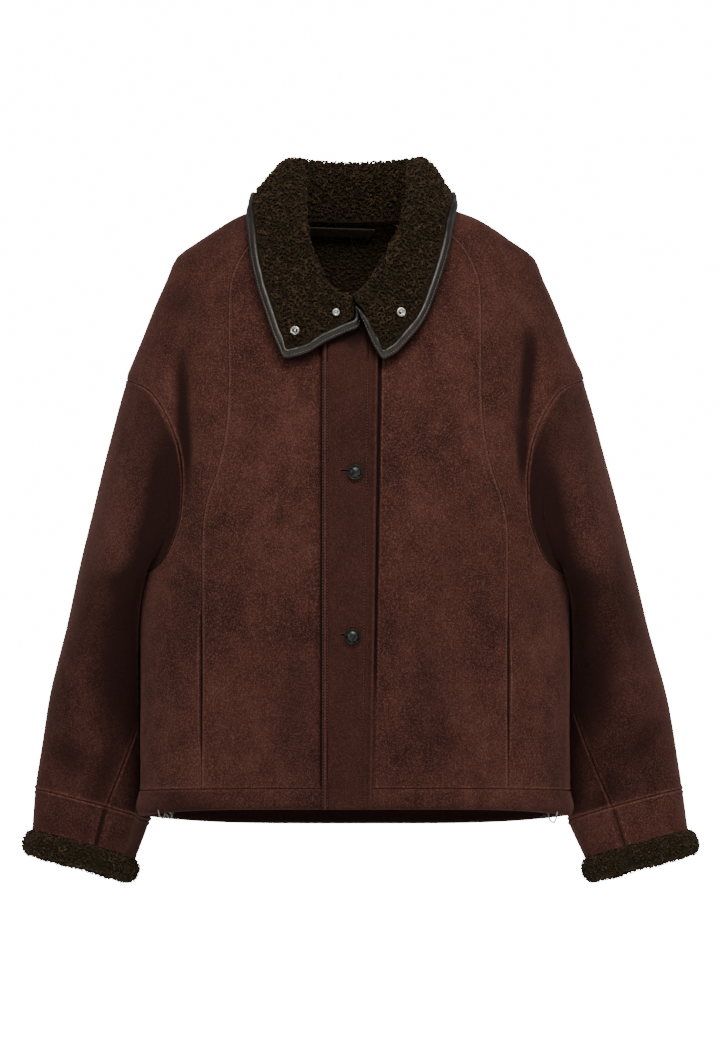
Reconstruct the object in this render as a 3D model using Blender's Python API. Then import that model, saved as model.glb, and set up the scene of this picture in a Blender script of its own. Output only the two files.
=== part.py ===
"""Short shearling coat, filled out as if worn, with nobody in it.

The coat is made the way it is cut: leather-side-out shearling panels sewn edge to edge, a placket
over the centre front, hem bands, two-piece sleeves with fur-rolled cuffs, and a turned-down fur
collar bound in leather. Every cloth piece is a wall through rings or rows of points that are
worked out from the tables below.

Frame: millimetres in the tables, metres in the meshes. +X is to the right as seen from the front,
the front faces -Y, +Z is up, and the origin is the middle of the neck at the height of the back
neck seam. "right" and "left" in the names are as seen from the front.
"""
import math

import bpy
import numpy as np

MM = 0.001

# ---------------------------------------------------------------- driving sizes (mm)
SEAM_GAP = 0.3            # free space between two pieces sewn edge to edge
WALL = 8.0                # leather and shorn wool of the body
SLEEVE_WALL = 7.0
UNDERARM_THIN = 0.9       # share of the wall the skin loses in the underarm's tight fold
ROUNDNESS = 2.4           # exponent of the body's oval sections
BUTTON_D = 17.0
BUTTON_H = 6.5
SNAP_D = 10.5
PLACKET_WALL = 4.6
PLACKET_LIFT = 0.9        # free space under the placket
UNDERLAP_DROP = 4.0       # the neckline is this much lower under the placket
COLLAR_WALL = 12.0
BINDING_W = 9.5
PLACKET_TOP, PLACKET_BOTTOM = -92.0, -638.5
PLACKET_LEFT = -36.0
PLACKET_RIGHT = 26.0      # at the top; it comes in by PLACKET_TAPER towards the bottom
PLACKET_TAPER = 7.5
PLACKET_CORNER = 9.0      # radius of the placket's lower right corner
PLACKET_BEVEL = 1.1       # how far its long edges fall away
FRONT_MIDDLE = {-1: -32.2, 1: -31.6}   # x of the middle edge of the left and right front
HEM_TO = 260.0            # past the sides: the bands end at the body's outermost line
HEM_LEVEL = -630.0        # height at which the bands' lengths are measured off
HEM_SECTION = [(0.0, 0.0), (0.35, 0.0), (0.72, 0.0), (0.93, 1.2), (1.0, 3.4)]   # share down, tuck
FACING_TOP, FACING_BOTTOM = -408.0, -588.0
FACING_NEAR, FACING_FAR = 156.0, 184.0   # distance of a pocket facing's edges from the middle
FACING_ROOM = 1.0         # free space between a front and the facing behind it
FACING_WALL = 1.6
TAPE_LEFT, TAPE_RIGHT = -57.0, 22.0
TAPE_TOP, TAPE_BOTTOM = 8.0, -2.0
TAPE_TILT = 1.5           # half the height the hanger tape loses along its length
TAPE_END_LIFT = 5.0       # its lower right corner is folded up by this much
TAPE_ROOM = 1.6
TAPE_WALL = 2.0
FUR_ROLL = 13.0           # radius of the rolled fur at the cuff
BUTTONS = [("button_upper", 0.0, -267.7), ("button_lower", -2.7, -447.0)]
SNAPS = [("snap_left_outer", -66.0, -113.3, SNAP_D), ("snap_left_inner", -19.8, -93.5, 8.4),
         ("snap_right", 51.7, -93.5, SNAP_D)]
TOGGLES = [("hem_toggle_left", -211.0, 1.9), ("hem_toggle_right", 216.0, 4.8)]   # x, room behind
TOGGLE_LOW = -648.5       # height of a toggle's lower end
TOGGLE_PROFILE = [(2.0, 0), (3.4, 0.8), (3.6, 4.0), (3.0, 5.2), (3.6, 6.4), (3.4, 9.4), (2.0, 10.2)]

# Body sections from the neck point down to the hem.
BODY = np.array([
    # z, half width, front depth, back depth
    (28, 82, 26, 34),
    (13, 128, 41, 61),
    (0, 151, 52, 75),
    (-13, 170, 61, 84),
    (-35, 198, 73, 93),
    (-57, 207, 82, 101),
    (-79, 217, 91, 108),
    (-101, 226, 99, 113),
    (-123, 234, 106, 117),
    (-145, 243, 112, 119.5),
    (-167, 251, 117, 121),
    (-200, 251, 123, 122),
    (-240, 247, 129, 122),
    (-300, 240, 134, 120),
    (-360, 237, 136, 118),
    (-440, 236, 136, 116),
    (-520, 236, 133, 115),
    (-600, 236, 129, 115),
    (-622, 236.5, 128.5, 115),
    (-638, 239, 130, 117),
    (-650, 238, 128, 116),
    (-664, 235, 126, 114),
], float)

# Neckline of the front, from the middle to the neck point on the shoulder.
NECK_FRONT = np.array([
    # x, z
    (0, -80), (22, -76), (42, -63), (58, -44), (70, -22), (79, -3), (85, 13), (85, 22), (82, 28),
], float)
PRINCESS_TOP = 6          # the row of NECK_FRONT where the long front seam starts

# Rows of the front panels: where each row meets the middle, the long seam and the outer edge.
FRONT_ROWS = np.array([
    # middle z, seam x, seam z, edge x, edge z (an edge x of 0 is on the body's outermost line)
    (-80, 85, 13, 0, 28),
    (-92, 104, -4, 0, 13),
    (-104, 121, -24, 0, -13),
    (-118, 131, -42, 0, -57),
    (-132, 137, -62, 0, -101),
    (-148, 139, -90, 0, -140),
    (-166, 139, -116, 0, -167),
    (-184, 139, -146, 226, -179),
    (-204, 139, -175, 211, -199),
    (-226, 140, -202, 202, -217),
    (-252, 144, -234, 193, -245),
    (-284, 152, -270, 189, -281),
    (-312, 162, -298, 190, -311),
    (-346, 167.5, -334, 199, -344),
    (-376, 168, -368, 213, -370),
    (-396, 168, -392, 0, -385),
    (-430, 168, -428, 0, -420),
    (-490, 168, -488, 0, -484),
    (-555, 168, -554, 0, -552),
    (-615.5, 168, -616.05, 0, -618.5),
], float)
RIDGE_TURN = math.radians(89)   # past this turn an edge is the body's outermost line
ROW_T = 6                 # the row at the sleeve seam's top
ROW_U = 15                # the row at the underarm
FRONT_EXTRA = (6, 14, 16, 17, 18)   # rows with one more after them, half way to the next
SLEEVE_FRONT_ROW = 14     # the row where the sleeve's own front seam meets the body

# Rows of the back: the same, without a long seam.
BACK_ROWS = np.array([
    # middle z, edge x, edge z
    (12, 0, 28),
    (-10, 0, 13),
    (-36, 0, -13),
    (-66, 0, -57),
    (-100, 0, -101),
    (-130, 0, -140),
    (-156, 0, -167),
    (-176, 228, -181),
    (-200, 212, -205),
    (-230, 203, -235),
    (-262, 199, -268),
    (-295, 200, -300),
    (-325, 206, -332),
    (-355, 218, -362),
    (-385, 0, -385),
    (-425, 0, -420),
    (-490, 0, -484),
    (-560, 0, -552),
    (-633, 0, -618.5),
], float)
BACK_T = 6
BACK_U = 14
BACK_EXTRA = (6, 13, 15, 16, 17)
SLEEVE_BACK_ROW = 13

# Soft upright folds: x, top z, bottom z, depth, half width. Each is a trough in the wall.
FRONT_FOLDS = np.array([
    (192, -112, -330, 11.0, 15.0),
    (222, -340, -470, 3.0, 14.0),
    (120, -430, -600, 2.0, 20.0),
], float)
BACK_FOLDS = np.array([
    (188, -120, -345, 9.0, 17.0),
    (96, -260, -520, 3.5, 26.0),
    (30, -380, -600, 2.5, 24.0),
], float)

# Sleeve rings from the armhole to the cuff seam.
SLEEVE = np.array([
    # outer x, outer z, outer y, inner x, inner z, inner y, front y, back y, pull, front lift
    (251, -167, 0, 236, -385, 0, -94, 80, 0, 0),
    (262, -204, 3, 240, -390, 8, -93, 86, 44, 0),
    (274, -250, 7, 240, -398, 20, -88, 93, 33, 0),
    (287, -300, 12, 236, -409, 34, -79, 100, 22, 0),
    (298.5, -345, 18, 230, -425, 48, -67, 107, 12, 0),
    (308, -385, 24, 224, -447, 60, -54, 112, 5, 0),
    (317.5, -425, 29, 219, -475, 67, -42, 114, 0, 0),
    (329, -470, 33, 216, -511, 69, -31, 112, 0, 1),
    (340, -515, 36, 217, -550, 67, -22, 106, 0, 2),
    (348.5, -562, 37, 221, -597, 62, -15, 96, 0, 3),
    (357, -618, 37, 231, -653, 52, -8, 84, 0, 3),
], float)
# Angle round the sleeve of its two seams, outer line 0, front 90, inner line 180.
SLEEVE_SEAMS = np.array([
    # ring, front seam, back seam
    (0, 158, 150), (4, 156, 145), (6, 148, 136), (8, 125, 124), (10, 102, 112),
], float)
SLEEVE_OUT = {1: 4.0, -1: -5.0}   # how much further out the right cuff hangs than the left
CUFF_DROP = 44.0          # how far the band's end lies below its seam
CUFF_OUT = {1: 12.6, -1: 9.5}     # how far it swings away from the body
CUFF_SQUEEZE = 0.9
CUFF_START = {1: 0.011, -1: 0.038}     # the band starts this share of its height below the seam
SEAM_TURN = 0.006         # half the turn left free at a sleeve's lengthwise seams

COLLAR_FRONT = {
    # one row a station from the front end towards the shoulder:
    # neckline row; fold x, y, z; edge x, z, lift off the front
    -1: np.array([
        (0.55, -5.5, -109, -78, 1, -92, 14),
        (0.85, -12, -109, -74.5, 6, -107.5, 14),
        (1.2, -19, -109, -70, -11, -116.5, 14.5),
        (1.6, -27, -107, -65, -32, -126.5, 15),
        (2, -36, -101, -47, -54, -139, 15),
        (2.5, -42, -94, -34, -75, -143.5, 15),
        (3, -48, -86, -20, -85, -127, 15),
        (3.55, -53, -77, -2, -97, -93, 15),
        (4.1, -57, -65, 16, -106, -66, 15),
        (4.65, -58.5, -51, 32, -113, -36, 15),
        (5.2, -58.5, -37, 47, -115.5, -12, 14),
        (5.8, -58, -22, 60, -117, 6, 13),
    ], float),
    1: np.array([
        (-0.1, -1, -112, -75.5, 2, -91.5, 22),
        (0.25, 6, -112.5, -71, 8.5, -103.5, 21),
        (0.7, 14, -111, -63, 15, -119.5, 18.5),
        (1.15, 22, -108, -52, 23, -135, 16),
        (1.6, 30, -102, -38, 31, -144.5, 15),
        (2, 37, -96, -24, 43, -139, 15),
        (2.55, 44, -88, -8, 58, -124, 15),
        (3.1, 50.5, -77, 9, 76, -100, 15),
        (3.8, 56, -64, 26, 90, -67, 15),
        (4.4, 60.5, -49, 42, 102, -31, 15),
        (5, 63, -34, 55, 107, -3, 14),
        (5.8, 62, -20, 63, 110, 10, 13),
    ], float),
}
COLLAR_SHOULDER = np.array([
    # neckline row; fold x, y, z; edge x, y, z, left side
    (7.0, -61, -8, 68.5, -119, -20, 24),
    (7.5, -62.5, -1, 71, -118, -9, 28),
    (8.0, -64, 5, 72.4, -117, 3, 30.5),
], float)
COLLAR_BACK = np.array([
    # turn round the back neckline, 90 at the shoulder; fold x, y, z; edge x, y, z, left side
    (84, -65.5, 11, 73.5, -116, 18, 31),
    (74, -68, 24, 75.2, -111, 38, 25),
    (60, -67, 42, 75.5, -101, 62, 15),
    (45, -59, 60, 75.5, -84, 84, 3),
    (30, -44, 76, 74.5, -60, 101, -6),
    (15, -23, 86, 74, -31, 110, -11),
    (0, 0, 89, 73.5, 0, 113, -13),
], float)

# Half the width of the collar's rounded fold, by stations from a front end.
FOLD_ROOM = np.array([(0, 8), (3, 10), (8, 15), (13, 19), (20, 19)], float)
COLLAR_STATIONS = 43
COLLAR_RIGHT = 0.96       # the leaf stands out less on the right
NECK_GAP = 1.1            # the collar's base stands this far clear of the body's neck edge
SHOULDER_Z = 27           # the body's own surface ends just above this height
EDGE_FREE, EDGE_LEVEL = -30.0, -90.0   # below the second height a leaf's edge lies at its own z

COLOURS = {
    # name: colour, roughness, metallic
    "suede": ((0.060, 0.020, 0.015), 0.95, 0.0),
    "placket_suede": ((0.038, 0.013, 0.010), 0.95, 0.0),
    "fur": ((0.022, 0.015, 0.006), 1.0, 0.0),
    "leather": ((0.020, 0.018, 0.017), 0.4, 0.0),
    "gunmetal": ((0.040, 0.042, 0.038), 0.35, 0.9),
    "silver": ((0.60, 0.58, 0.54), 0.3, 1.0),
    "cord": ((0.10, 0.07, 0.05), 0.9, 0.0),
}


# ---------------------------------------------------------------- interpolation
def smooth(keys, values, at):
    """Monotone cubic through rows of values at rising keys, read at one place or many."""
    keys = np.asarray(keys, float)
    values = np.asarray(values, float)
    if keys[0] > keys[-1]:
        keys, values = keys[::-1], values[::-1]
    flat = values.ndim == 1
    rows = values[:, None] if flat else values
    step = np.diff(keys)
    slope = np.diff(rows, axis=0) / step[:, None]
    tangent = np.zeros_like(rows)
    tangent[0], tangent[-1] = slope[0], slope[-1]
    same = slope[:-1] * slope[1:] > 0
    total = np.where(same, slope[:-1] + slope[1:], 1.0)
    tangent[1:-1] = np.where(same, 2 * slope[:-1] * slope[1:] / total, 0.0)
    at = np.clip(np.atleast_1d(np.asarray(at, float)), keys[0], keys[-1])
    k = np.clip(np.searchsorted(keys, at, side="right") - 1, 0, len(step) - 1)
    h = step[k]
    t = (at - keys[k]) / h
    h, t = h[:, None], t[:, None]
    out = ((2 * t**3 - 3 * t**2 + 1) * rows[k] + (t**3 - 2 * t**2 + t) * h * tangent[k]
           + (3 * t**2 - 2 * t**3) * rows[k + 1] + (t**3 - t**2) * h * tangent[k + 1])
    return out[:, 0] if flat else out


def unit(v):
    v = np.asarray(v, float)
    return v / np.maximum(np.linalg.norm(v, axis=-1, keepdims=True), 1e-9)


# ---------------------------------------------------------------- the body's surface
def half_width(z):
    return smooth(BODY[:, 0], BODY[:, 1], z)


def trough(x, z, folds):
    """How far the soft folds sink the wall at (x, z), the same on both sides of the coat."""
    sink = np.zeros_like(x)
    for fold_x, top, bottom, depth, width in folds:
        along = np.clip((top - z) / (top - bottom), 0, 1)
        sink += depth * np.sin(math.pi * along) ** 1.2 * np.exp(-((np.abs(x) - fold_x) / width) ** 2)
    return sink


def body(x, z, back=False, out=0.0):
    """Points of the coat's outer surface at (x, z), moved out by a distance."""
    x, z = np.broadcast_arrays(np.asarray(x, float), np.asarray(z, float))
    shape = x.shape
    x, z = x.ravel(), z.ravel()

    def surface(px, pz):
        w, front, rear = smooth(BODY[:, 0], BODY[:, 1:], pz).T
        s = np.clip(np.abs(px) / w, 0, 1)
        y = (1 - s**ROUNDNESS) ** (1 / ROUNDNESS)
        y = rear * y if back else -front * y
        fade = 1 - s**8
        sink = trough(px, pz, BACK_FOLDS if back else FRONT_FOLDS) * fade
        return np.stack([px, y + (-sink if back else sink), pz], -1)

    points = surface(x, z)
    if out:
        points = points + out * body_normal(x, z, back, surface)
    return points.reshape(shape + (3,))


def body_normal(x, z, back, surface):
    """Outward normals by small steps along the section and down the body."""
    w = half_width(z)
    turn = np.arcsin(np.clip(np.abs(x) / w, 0, 1))
    turn = np.clip(turn, 0.02, math.pi / 2 - 0.03)
    side = np.where(x < 0, -1.0, 1.0)
    d = 0.01

    def at(a, dz):
        zz = np.clip(z + dz, BODY[-1, 0], BODY[0, 0])
        return surface(side * half_width(zz) * np.sin(a), zz)

    across = (at(turn + d, 0) - at(turn - d, 0)) * side[:, None]
    down = at(turn, -1.5) - at(turn, 1.5)
    n = unit(np.cross(down, across))
    n = np.where((n[:, 1:2] > 0) == back, n, -n)
    near_edge = np.clip((np.abs(x) / w - 0.985) / 0.015, 0, 1)[:, None] ** 2
    flat = unit(n * np.array([1.0, 0.0, 1.0]))
    return unit(n * (1 - near_edge) + flat * near_edge)


# ---------------------------------------------------------------- meshes
def link(name, mesh, material):
    ob = bpy.data.objects.new(name, mesh)
    mesh.materials.append(material)
    COAT.objects.link(ob)
    return ob


def wall(name, outer, inner, material, ring=False, even_top=True):
    """A closed wall between two grids of points (rows, columns, xyz); a ring's columns close up.

    The end faces are cut the same way on all pieces, so that sewn edges run side by side.
    """
    rows, cols = outer.shape[:2]
    points = np.concatenate([outer.reshape(-1, 3), inner.reshape(-1, 3)]) * MM
    half = rows * cols
    last = cols if ring else cols - 1
    faces = []
    for r in range(rows - 1):
        for c in range(last):
            d = (c + 1) % cols
            a, b, e, f = r * cols + c, r * cols + d, (r + 1) * cols + d, (r + 1) * cols + c
            faces.append((a, b, e, f))
            faces.append((half + f, half + e, half + b, half + a))
    for c in range(last):
        d = (c + 1) % cols
        if even_top:
            faces += [(half + c, half + d, c), (half + d, d, c)]
        else:
            faces.append((half + c, half + d, d, c))
        low = (rows - 1) * cols
        faces += [(low + c, low + d, half + low + c), (low + d, half + low + d, half + low + c)]
    if not ring:
        for r in range(rows - 1):
            a, b = r * cols, (r + 1) * cols
            faces += [(a, b, half + b), (a, half + b, half + a)]
            a, b = a + cols - 1, b + cols - 1
            faces += [(b, a, half + b), (a, half + a, half + b)]
    mesh = bpy.data.meshes.new(name)
    mesh.from_pydata([tuple(p) for p in points], [], faces)
    mesh.update()
    if signed_volume(mesh) < 0:
        mesh.flip_normals()
    mesh.shade_smooth()
    mesh.set_sharp_from_angle(angle=math.radians(40))
    return link(name, mesh, material)


def signed_volume(mesh):
    mesh.calc_loop_triangles()
    v = np.array([p.co for p in mesh.vertices])
    t = np.array([tri.vertices for tri in mesh.loop_triangles])
    return float(np.einsum("ij,ij->i", v[t[:, 0]], np.cross(v[t[:, 1]], v[t[:, 2]])).sum() / 6)


def inset(along, length, gap=SEAM_GAP):
    """Moves a 0..1 parameter in from both its ends, so that sewn pieces lie a gap apart."""
    e = gap / 2 / length
    return e + (1 - 2 * e) * along


# ---------------------------------------------------------------- body panels
def edge_turn(z, back, gap=SEAM_GAP):
    """The turn about the body at which the surface lies half a seam gap from the outermost line."""
    depth = smooth(BODY[:, 0], BODY[:, 3 if back else 2], z)
    return np.arcsin((1 - (gap / 2 / depth) ** ROUNDNESS) ** (1 / ROUNDNESS))


def edge_x(x, z):
    """An edge given as 0 is the outermost line of the body."""
    return np.where(x == 0, half_width(z), x)


def rows_at(table, stops, t):
    """Rows of a table read smoothly at t, with corners kept at the stops."""
    t = np.asarray(t, float)
    out = np.zeros((len(t), table.shape[1]))
    bounds = [0, *stops, len(table) - 1]
    for a, b in zip(bounds, bounds[1:]):
        here = (t >= a) & (t <= b)
        if here.any():
            out[here] = smooth(np.arange(a, b + 1), table[a:b + 1], t[here])
    return out


def front_rows(t):
    table = FRONT_ROWS.copy()
    table[:, 3] = edge_x(table[:, 3], table[:, 4])
    return rows_at(table, (ROW_T, ROW_U), t)


def back_rows(t):
    table = BACK_ROWS.copy()
    table[:, 1] = edge_x(table[:, 1], table[:, 2])
    return rows_at(table, (BACK_T, BACK_U), t)


def neck_front(t):
    """The front neckline by its table's row number; below 0 it runs on over the middle."""
    p = smooth(np.arange(len(NECK_FRONT)), NECK_FRONT, np.abs(t))
    p[:, 0] *= np.where(np.asarray(t) < 0, -1, 1)
    return p


def neck_back_z(turn):
    """Height of the back neckline; the turn is 0 in the middle and a quarter at the shoulder."""
    rise = NECK_FRONT[-1, 1] - BACK_ROWS[0, 0]
    return BACK_ROWS[0, 0] + rise * (1 - np.cos(turn)) ** 0.9


def row_steps(table, extra):
    """Row numbers of a panel: the table's own rows, with more between some of them."""
    steps = list(range(len(table)))
    for a in extra:
        steps.append(a + 0.5)
    return np.array(sorted(steps))


def front_centre(name, side, middle_x, material):
    """From under the placket to the long seam, on one side of the coat."""
    t = row_steps(FRONT_ROWS, (0, 16, 17, 18))
    rows = front_rows(t)
    first = -middle_x * side
    u = np.linspace(0, 1, 12)
    start = np.interp(abs(middle_x), NECK_FRONT[:, 0][:7], np.arange(7)) * (-1 if first > 0 else 1)
    neck = neck_front(start + (PRINCESS_TOP - start) * u)
    neck[:, 1] -= np.where(start + (PRINCESS_TOP - start) * u < 0, UNDERLAP_DROP, 0.0)
    xs, zs = [], []
    for i, (mid_z, seam_x, seam_z, _, _) in enumerate(rows):
        length = seam_x - middle_x * side
        a = inset(u, length)
        x = middle_x * side + length * a
        z = mid_z + (seam_z - mid_z) * a
        fade = max(0.0, 1 - t[i] / 4)
        base_x = middle_x * side + (FRONT_ROWS[0, 1] - middle_x * side) * u
        base_z = FRONT_ROWS[0, 0] + (FRONT_ROWS[0, 2] - FRONT_ROWS[0, 0]) * u
        x = x + (neck[:, 0] - base_x) * fade
        z = z + (neck[:, 1] - base_z) * fade
        if i == len(rows) - 1:
            z = band_top(np.abs(x) / half_width(z), False)
        xs.append(x)
        zs.append(z)
    x, z = np.array(xs) * side, np.array(zs)
    return wall(name, body(x, z), body(x, z, out=-WALL), material)


def front_side(name, side, material):
    """From the long seam out to the shoulder, the sleeve seam and the side seam."""
    t = row_steps(FRONT_ROWS, FRONT_EXTRA)
    rows = front_rows(t)
    u = np.linspace(0, 1, 10) ** 0.85
    neck = neck_front(PRINCESS_TOP + (len(NECK_FRONT) - 1 - PRINCESS_TOP) * u)
    neck_turn = np.arcsin(np.clip(neck[:, 0] / half_width(neck[:, 1]), 0, 1))
    xs, zs = [], []
    for i, (_, seam_x, seam_z, out_x, out_z) in enumerate(rows):
        a0 = math.asin(min(1, seam_x / half_width(seam_z)[0]))
        a1 = math.asin(min(1, out_x / half_width(out_z)[0]))
        length = math.dist((seam_x, seam_z), (out_x, out_z)) + 20
        a = inset(u, length, 1.6 * SEAM_GAP)
        if a1 > RIDGE_TURN:
            a1 = edge_turn(out_z, False)[0]
            a = np.minimum(a, inset(u, length)) / inset(u, length)[-1]
        turn = a0 + (a1 - a0) * a
        z = seam_z + (out_z - seam_z) * a
        if t[i] < 3:
            fade = 1 - t[i] / 3
            base = neck_turn[0] + (math.pi / 2 - neck_turn[0]) * u
            turn = np.minimum(turn + (neck_turn - base) * fade, a1)
            z = z + (neck[:, 1] - (NECK_FRONT[PRINCESS_TOP, 1] * (1 - u) + NECK_FRONT[-1, 1] * u)) * fade
        if i == len(rows) - 1:
            z = band_top(np.sin(turn), False)
        xs.append(half_width(z) * np.sin(np.clip(turn, 0, math.pi / 2)))
        zs.append(z)
    x, z = np.array(xs) * side, np.array(zs)
    return wall(name, body(x, z), body(x, z, out=-WALL), material)


def back_panel(name, material):
    """The whole back, from side seam to side seam."""
    t = row_steps(BACK_ROWS, BACK_EXTRA)
    rows = back_rows(t)
    u = np.linspace(-1, 1, 25)
    v = np.abs(u)
    turn0 = v * math.pi / 2
    neck_z = neck_back_z(turn0)
    xs, zs = [], []
    for i, (mid_z, out_x, out_z) in enumerate(rows):
        a1 = math.asin(min(1, out_x / half_width(out_z)[0]))
        length = out_x + 40
        a = v * (1 - 0.8 * SEAM_GAP / length)
        if a1 > RIDGE_TURN:
            a1 = edge_turn(out_z, True)[0]
            a = v
        turn = a1 * a
        low = max(0.0, (t[i] - BACK_U) / (len(BACK_ROWS) - 1 - BACK_U))
        z = mid_z + (out_z - mid_z) * (a**1.5 * (1 - low) + np.sin(turn)**4 * low)
        if t[i] < 3:
            base_z = BACK_ROWS[0, 0] + (BACK_ROWS[0, 2] - BACK_ROWS[0, 0]) * v**1.5
            z = z + (neck_z - base_z) * (1 - t[i] / 3)
        xs.append(np.sign(u) * half_width(z) * np.sin(turn))
        zs.append(z)
    x, z = np.array(xs), np.array(zs)
    return wall(name, body(x, z, back=True), body(x, z, back=True, out=-WALL), material)


def band_top(s, back):
    """Height of the seam over the hem band; s is 0 in the middle and 1 at the side."""
    return -633 + 14.5 * s**4 if back else -615.5 - 3 * s**5


def hem(s, back):
    return -657 + 10 * s**4 if back else -638.5 - 8.5 * s**5


def hem_band(name, x0, x1, columns, back, material):
    """The turned-up band at the bottom, from x0 to x1, with a rounded lower edge."""
    w = half_width(HEM_LEVEL)[0]
    a0, a1 = math.asin(np.clip(x0 / w, -1, 1)), math.asin(np.clip(x1 / w, -1, 1))
    most = edge_turn(HEM_LEVEL, back)[0]
    turn = np.clip(np.linspace(a0, a1, columns), -most, most)
    s = np.abs(np.sin(turn))
    outer, inner = [], []
    for down, tuck in HEM_SECTION:
        top = band_top(s, back) - 2 * SEAM_GAP
        z = top + (hem(s, back) - top) * down
        x = half_width(z) * np.sin(turn)
        outer.append(body(x, z, back, out=-tuck) if tuck else body(x, z, back))
        inner.append(body(x, z, back, out=-WALL + tuck * 0.7))
    return wall(name, np.array(outer), np.array(inner), material)


def placket(name, material):
    """The buttoned flap that laps over the centre front; its points are the front's, moved out."""
    top, bottom, corner = PLACKET_TOP, PLACKET_BOTTOM, PLACKET_CORNER
    last_rows = bottom + np.array([9, 5.5, 3, 1.2, 0])
    heights = np.concatenate([np.linspace(top, bottom + 12, 22), last_rows])
    drop = np.array([PLACKET_BEVEL, 0.0, 0.0, 0.0, PLACKET_BEVEL])
    base, face = [], []
    for z in heights:
        row = (z - top) / (bottom - top)
        right = PLACKET_RIGHT - PLACKET_TAPER * row
        into_corner = corner * max(0.0, 1 - (z - bottom) / corner)
        right -= corner - math.sqrt(max(0, corner**2 - into_corner**2))
        x = np.linspace(PLACKET_LEFT, right, 5)
        zz = np.full_like(x, z)
        outs = PLACKET_LIFT + PLACKET_WALL - drop
        base.append(body(x, zz, out=PLACKET_LIFT))
        face.append(np.stack([body(px, pz, out=out) for px, pz, out in zip(x, zz, outs)]))
    return wall(name, np.array(face), np.array(base), material)


def pocket_facing(name, side, material):
    """The strip of suede behind a pocket mouth in the long seam."""
    z = np.linspace(FACING_TOP, FACING_BOTTOM, 7)[:, None]
    x = side * np.linspace(FACING_NEAR, FACING_FAR, 4)[None, :]
    near = body(x, z, out=-WALL - FACING_ROOM)
    return wall(name, near, body(x, z, out=-WALL - FACING_ROOM - FACING_WALL), material)


# ---------------------------------------------------------------- sleeves
def armhole(side_back):
    """The sleeve seam's x for a height, on the front or on the back."""
    if side_back:
        table = BACK_ROWS[BACK_T:BACK_U + 1, 1:]
    else:
        table = FRONT_ROWS[ROW_T:ROW_U + 1, 3:]
    x = edge_x(table[:, 0], table[:, 1])
    return lambda z: smooth(table[:, 1], x, z)


def clear_of_body(points, room):
    """Moves sleeve points that would touch the body out along x, to the body's side plus room."""
    out = points.copy()
    x, y, z = points[..., 0], points[..., 1], points[..., 2]
    w, front, rear = smooth(BODY[:, 0], BODY[:, 1:], z.ravel()).T
    depth = np.where(y.ravel() > 0, rear, front)
    s = np.clip(np.abs(y.ravel()) / (depth + room), 0, 1)
    least = (w + room) * (1 - s**ROUNDNESS) ** (1 / ROUNDNESS)
    least = least.reshape(x.shape)
    out[..., 0] = np.maximum(x, least)
    return out


def sleeve_point(ring, angle, side):
    """Points of a sleeve's outer surface, as for the right sleeve: ring 0..10, angle in radians."""
    ring = np.asarray(ring, float)
    angle = np.asarray(angle, float)
    ring, angle = np.broadcast_arrays(ring, angle)
    shape = ring.shape
    ring, angle = ring.ravel(), np.mod(angle.ravel() + math.pi, 2 * math.pi) - math.pi
    ox, oz, oy, ix, iz, iy, fy, by, pull, lift = smooth(np.arange(len(SLEEVE)), SLEEVE, ring).T
    c, s = np.cos(angle), np.sin(angle)
    power = 0.9
    c = np.sign(c) * np.abs(c) ** power
    s = np.sign(s) * np.abs(s) ** power
    x = (ox + ix) / 2 + (ox - ix) / 2 * c
    z = (oz + iz) / 2 + (oz - iz) / 2 * c
    y_mid = (oy + iy) / 2 + (oy - iy) / 2 * c
    y = np.where(s > 0, y_mid + (fy - (oy + iy) / 2) * s, y_mid - (by - (oy + iy) / 2) * s)
    away = unit(np.stack([oz - iz, ix - ox], -1))
    x = x - pull * s**2 * np.abs(away[:, 0])
    z = z + lift * s
    points = np.stack([x, y, z], -1)
    points[:, 0] += SLEEVE_OUT[side] * np.clip((-200 - z) / 450, 0, 1)
    points = clear_of_body(points, 3.5)

    # near the armhole the ring runs into the body's own edge
    level = SLEEVE[0, 1] + (SLEEVE[0, 4] - SLEEVE[0, 1]) * (1 - np.cos(angle)) / 2
    front, rear = armhole(False), armhole(True)
    hole = np.where((s > 0)[:, None], body(front(level), level), body(rear(level), level, back=True))
    near = np.clip(1 - ring, 0, 1)[:, None]
    near = near**2 * (3 - 2 * near)
    blend = points * (1 - near) + hole * near
    return blend.reshape(shape + (3,))


def sleeve_normal(ring, angle, side):
    d = 0.05
    lo, hi = np.clip(ring - d, 0, None), np.clip(ring + d, None, len(SLEEVE) - 1)
    along = sleeve_point(hi, angle, side) - sleeve_point(lo, angle, side)
    turn = sleeve_point(ring, angle + 0.03, side) - sleeve_point(ring, angle - 0.03, side)
    return unit(np.cross(turn, along))


def mirrored(points, side):
    return points * (side, 1, 1)


def hole_angles(rows, table_t, first, last):
    """Angles of the sleeve's first ring that meet the body's own rows between two row numbers."""
    wanted = rows[(table_t >= first) & (table_t <= last)]
    share = (SLEEVE[0, 1] - wanted) / (SLEEVE[0, 1] - SLEEVE[0, 4])
    return np.arccos(np.clip(1 - 2 * share, -1, 1))


def sleeve_seams(ring):
    front, rear = np.radians(smooth(SLEEVE_SEAMS[:, 0], SLEEVE_SEAMS[:, 1:], ring)).T
    return front, rear


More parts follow.
